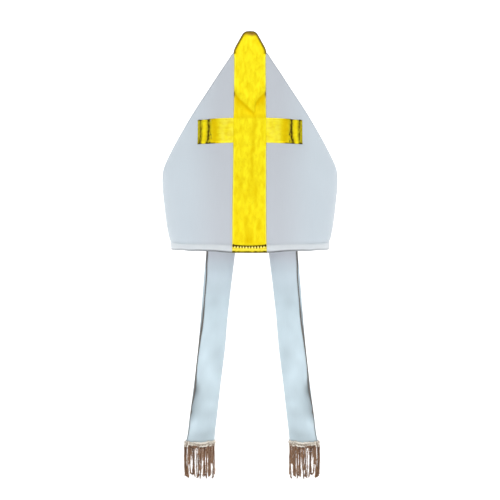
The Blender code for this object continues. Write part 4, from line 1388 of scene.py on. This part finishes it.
def make_fringe_cords(word, side):
    """The brown fringe: two-ply cords, each with its own hang, curled tip and loose hairs."""
    sizes = bpy.context.scene.mitre_sizes
    height = sizes.gimp_height
    draw = random.Random(29)
    tubes = []
    for cord in FRINGE_CORDS:
        path = cord_path(side, cord, height * 0.78, draw)
        radius = sizes.cord_radius * cord.thickness
        share = np.linspace(0, 1, len(path))
        bulk = 0.92 + 0.5 * bell(share, 0.0, 0.1) + 0.1 * np.sin(share * 17 + cord.top)
        bulk = bulk + 0.5 * smooth_step(0.58, 0.9, share)
        slim = radius * 0.6 * bulk * (1 - 0.25 * smooth_step(0.92, 1.0, share))
        for strand in twisted_strands(path, radius, CORD_TWIST, 2, draw.uniform(0, 6.28)):
            tubes.append((strand, slim, 0.03 + cord.tone * draw.uniform(0.6, 1.6)))
        for hair in range(HAIRS):
            loose_end = hair >= HAIRS - 5
            start = path[int(draw.uniform(60, 80) if loose_end else draw.uniform(4, 60))]
            length = draw.uniform(0.004, 0.01) if loose_end else draw.uniform(0.008, 0.022)
            lean = draw.uniform(-0.0032, 0.0032)
            bent = [start, start + np.array([lean * 0.5, -0.0012, -length * 0.5]),
                    start + np.array([lean, -0.0016, -length])]
            tubes.append((smooth_path(bent, 12), HAIR_RADIUS, draw.uniform(0.7, 1.6)))
    low = np.linspace(0.66, 1.14, 8)
    lift = 0.0046 - 0.003 * smooth_step(0.85, 1.12, low)
    for place in np.arange(0.0078, 0.0206, 0.0015):
        lap = head_point(side, place / HEAD_WIDTH + 0.004 * low, height * low, lift)
        tubes.append((lap, SEWN_RADIUS, draw.uniform(0.1, 0.8)))
    # A dark thread along the gimp's foot paints the shadow under the gimp.
    seam = np.linspace(0.52, 0.76, 24)
    sewn = head_point(side, seam, height + 0.0003 * np.sin(seam * 90), 0.0016)
    tubes.append((sewn, SEWN_RADIUS, 0.06))
    keep(tube_bundle(f"fringe_{word}_cords", tubes, 6, MATERIALS["cord"]))


# ---------------------------------------------------------------- lappets

CLOSED_EDGE = 0.985      # where a lappet's closed side turns, as a share of its width
LAYER_GAP = 0.00035      # from a lappet's middle to the inside of each layer
GAP_SHADOW_EDGE = 0.93         # where the dark sheet that paints the shadow between the layers ends, as a share of the width
GAP_SHADOW_THICKNESS = 0.0005


def lappet_points(side, across, height, out):
    """Points of a lappet's layers. across is 0 outside, 1 inside; out is towards the front."""
    distance = column_at(LAPPET_SECTIONS, "outer", height) - lappet_width(height) * across
    depth = lappet_depth(side, distance, height, across) - out
    return np.stack([PAIR_ASIDE + side * distance, depth, height - end_sag(across, height)],
                    axis=-1)


def lappet_width(height):
    """Width of a lappet at a height."""
    return (column_at(LAPPET_SECTIONS, "outer", height)
            - column_at(LAPPET_SECTIONS, "inner", height))


def make_lappet_band(word, side, heights):
    """A lappet's satin, folded double with its outer side open. facing is 1 on the front
    layer and -1 on the back one."""
    sizes = bpy.context.scene.mitre_sizes
    layer = sizes.lappet_layer
    steps = np.linspace(0, 1, 25)
    turn = turns(90, -90, 9)[1:-1]
    facing = np.concatenate([1 + 0 * steps, np.sin(turn), -1 + 0 * steps])
    facing = np.repeat(facing[None, :], len(heights), axis=0)
    height = np.repeat(heights[:, None], facing.shape[1], axis=1)
    width = lappet_width(heights)[:, None]
    front_edge = (0.0004 + column_at(OPEN_SIDES, "front", heights)[:, None]) / width
    across = np.concatenate([front_edge + (CLOSED_EDGE - front_edge) * steps,
                             CLOSED_EDGE + 0.0006 / width * np.cos(turn),
                             CLOSED_EDGE + (0.0003 / width - CLOSED_EDGE) * steps], axis=1)

    hung = fall(-0.045, -0.004, height)
    closed_end = smooth_step(LAPPET_END + 0.004, LAPPET_END + 0.04, height)
    gape = sizes.lappet_gape / 2 * np.exp(-across / 0.16) * hung * closed_end
    ripple = 0.00035 * noise_field(across * 1.6, height / 0.034, 41) * hung
    ripple += 0.00012 * noise_field(across * 5, height / 0.012, 42)
    out = facing * (LAYER_GAP + layer + gape) + ripple * (0.4 + 0.6 * (facing > 0))
    points = lappet_points(side, across, height, out)
    run = lengths_along(points, 1)
    cloth = np.stack([run, height], axis=-1)

    # Painted shade and light of the folds, and the deeper painted shade of those along the outer
    # edge.
    tone, edge_shade = 0 * across, 0 * across
    for fold in LAPPET_FOLDS:
        shade = fold.tone * fold_share(fold, height, across)
        tone += shade
        if fold.across < 0.1:
            edge_shade -= 0.8 * shade
    # Painted shade along the front layer's edge, at the folds by the outer edge and under the hem.
    seam = edge_shade + 0.22 * bell((across - front_edge) * width, 0.0, 0.0007)
    seam += 0.05 * smooth_step(-0.026, -0.006, height)
    seam += 0.11 * bell(height, -0.008, 0.022) * smooth_step(0.35, 0.95, across)
    strip = column_at(OPEN_SIDES, "shade", heights)[:, None] * (across * width < 0.007)
    # Painted on the front layer: the shade above, the hem's shadow, a highlight along the closed
    # fold and the folds' shade and light; inside the back layer, the shade of its strip at the
    # open side.
    marks = {"seam": np.where(facing > 0, np.clip(seam, 0, 0.95), 0.0),
             "tint": through(HEM_SHADOW, height),
             "raised": 0.25 * bell(across, CLOSED_EDGE, 0.02),
             "tone": np.where(facing > 0, tone, -0.15)}
    inner = {"seam": np.where(facing > 0, seam, strip) / 2}
    if side < 0:
        points, cloth, marks, inner = mirrored(points, cloth, marks, inner)
    band = thick_sheet(f"lappet_{word}_band", points, layer, cloth, marks,
                       MATERIALS["lappet"], inner=inner)
    keep(band, [f"lappet_{word}"])


def make_lappet_gap_shadow(word, side, heights):
    """A dark sheet between a lappet's layers that paints the shadow in the gap at the open side.
    """
    height = np.repeat(heights[:, None], 14, axis=1)
    start = column_at(OPEN_SIDES, "core", height) / lappet_width(height) + 0.006
    across = start + (GAP_SHADOW_EDGE - start) * np.linspace(0, 1, 14)
    points = lappet_points(side, across, height, GAP_SHADOW_THICKNESS / 2)
    if side < 0:
        points = points[:, ::-1]
    width = float(lappet_width(LAPPET_END)) * GAP_SHADOW_EDGE
    cloth = np.stack([across * width, height], axis=-1)
    core = thick_sheet(f"lappet_{word}_core", points, GAP_SHADOW_THICKNESS, cloth, {"tone": 0.8},
                       MATERIALS["core"])
    keep(core)


class MITRE_OT_lappets(bpy.types.Operator):
    """Hang the two double satin lappets, with gimp and brown cords sewn to their ends"""

    bl_idname = "mitre.lappets"
    bl_label = "Lappets and Fringe"

    def execute(self, context):
        heights = np.linspace(LAPPET_TOP - 0.0004, LAPPET_END + 0.0006, 190)
        for word, side in SIDES:
            make_gimp_tape(word, side)
            make_gimp(word, side)
            make_fringe_cords(word, side)
            make_lappet_band(word, side, heights)
            make_lappet_gap_shadow(word, side, heights[:-2])
        return {"FINISHED"}


# ---------------------------------------------------------------- stage

EYE_HEIGHT = 0.1515      # camera above the hem
EYE_DISTANCE = 2.068     # camera in front of the middle of the head opening
LOOK_DOWN = 4.213        # degrees
LENS = 97.4
SENSOR = 36.0
FLOOR_SIDES = 48
FLOOR_RINGS = (0.4, 0.8, 1.4, 2.4, 4.0, 7.0, 12.0)

# Softboxes: azimuth from the front and elevation, each as low, high and soft border in
# degrees, and their strength.
SOFTBOXES = (((-60, 32, 3), (-14, 23.5, 1.5), 0.8), ((-60, 60, 5), (27.5, 62, 2), 1.15),
             ((40, 47, 2), (-10, 40, 4), 0.75), ((98, 262, 10), (-60, 80, 10), 1.2))
ALL_ROUND = 0.28         # strength of the light from everywhere else
SEEN_WHITE = 1.05        # least strength of the background that the camera sees


def world_light():
    """A pale studio all round: a broad front softbox, one overhead and a bright back."""
    world = bpy.data.worlds.new("studio")
    bpy.context.scene.world = world
    world.use_nodes = True
    tree = world.node_tree
    calc = partial(math_node, tree)
    place = place_node(tree, "TexCoord")
    split = place_node(tree, "SeparateXYZ", Vector=(place, "Generated"))
    azimuth = calc("ABSOLUTE", calc("ARCTAN2", (split, "X"), calc("MULTIPLY", (split, "Y"), -1.0)))
    elevation = calc("ARCSINE", (split, "Z"))

    def band(value, low, high, soft):
        """1 between two angles in degrees, with soft borders."""
        parts = [(place_node(tree, "MapRange", [("interpolation_type", "SMOOTHSTEP")],
                             Value=value, From_Min=math.radians(edge - soft),
                             From_Max=math.radians(edge + soft), To_Min=start,
                             To_Max=1.0 - start), "Result")
                 for edge, start in ((low, 0.0), (high, 1.0))]
        return calc("MULTIPLY", *parts)

    total = ALL_ROUND
    for across, up, strength in SOFTBOXES:
        box = calc("MULTIPLY", band(azimuth, *across), band(elevation, *up))
        total = calc("MULTIPLY_ADD", box, strength, total)
    seen = calc("MULTIPLY", (place_node(tree, "LightPath"), "Is Camera Ray"), SEEN_WHITE)
    fill_inputs(tree, tree.nodes["Background"], Strength=calc("MAXIMUM", total, seen),
                Color=(1.0, 1.0, 1.0))


def make_floor():
    """A pale round floor under the fringes."""
    height = bpy.context.scene.mitre_sizes.floor_height
    points = [(0.0, 0.0, height)]
    faces = []
    for ring, radius in enumerate(FLOOR_RINGS):
        for j in range(FLOOR_SIDES):
            turn = 2 * math.pi * j / FLOOR_SIDES
            points.append((radius * math.cos(turn), radius * math.sin(turn), height))
            out = 1 + ring * FLOOR_SIDES + j
            out_next = 1 + ring * FLOOR_SIDES + (j + 1) % FLOOR_SIDES
            if ring:
                faces.append((out - FLOOR_SIDES, out, out_next, out_next - FLOOR_SIDES))
            else:
                faces.append((0, out, out_next))
    add_mesh("floor", points, faces, {}, MATERIALS["floor"])


def make_camera():
    """The camera at the photograph's place: eye level with the middle of the shield."""
    data = bpy.data.cameras.new("camera")
    data.lens = LENS
    data.sensor_width = SENSOR
    camera = bpy.data.objects.new("camera", data)
    bpy.context.scene.collection.objects.link(camera)
    camera.location = (0.0, -EYE_DISTANCE, EYE_HEIGHT)
    camera.rotation_euler = (math.radians(90.0 - LOOK_DOWN), 0.0, 0.0)
    bpy.context.scene.camera = camera


class MITRE_OT_stage(bpy.types.Operator):
    """Set the pale floor, the studio light and the camera"""

    bl_idname = "mitre.stage"
    bl_label = "Stage"

    def execute(self, context):
        make_floor()
        world_light()
        make_camera()
        context.scene.view_settings.view_transform = "Standard"
        return {"FINISHED"}


# ---------------------------------------------------------------- add-on

class MITRE_PT_dressing(bpy.types.Panel):
    """Lists the steps and the sizes and colours they use"""

    bl_idname = "MITRE_PT_dressing"
    bl_label = "Mitre"
    bl_space_type = "VIEW_3D"
    bl_region_type = "UI"
    bl_category = "Mitre"

    def draw(self, context):
        column = self.layout.column(align=True)
        for step in STEPS:
            column.operator(step.bl_idname)
        for settings in (context.scene.mitre_sizes, context.scene.mitre_colours):
            box = self.layout.box()
            for label in settings.__annotations__:
                box.prop(settings, label)


STEPS = (MITRE_OT_shields, MITRE_OT_cross, MITRE_OT_lappets, MITRE_OT_stage)
CLASSES = (MitreSizes, MitreColours, *STEPS, MITRE_PT_dressing)


def register():
    """Registers the classes and puts the settings on the scene."""
    for item in CLASSES:
        bpy.utils.register_class(item)
    bpy.types.Scene.mitre_sizes = bpy.props.PointerProperty(type=MitreSizes)
    bpy.types.Scene.mitre_colours = bpy.props.PointerProperty(type=MitreColours)


def unregister():
    """Takes the settings and the classes away."""
    del bpy.types.Scene.mitre_colours
    del bpy.types.Scene.mitre_sizes
    for item in reversed(CLASSES):
        bpy.utils.unregister_class(item)


def main():
    """Registers the add-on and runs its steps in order."""
    register()
    make_materials()
    bpy.ops.mitre.shields()
    bpy.ops.mitre.cross()
    bpy.ops.mitre.lappets()
    bpy.ops.mitre.stage()


if __name__ == "__main__":
    main()
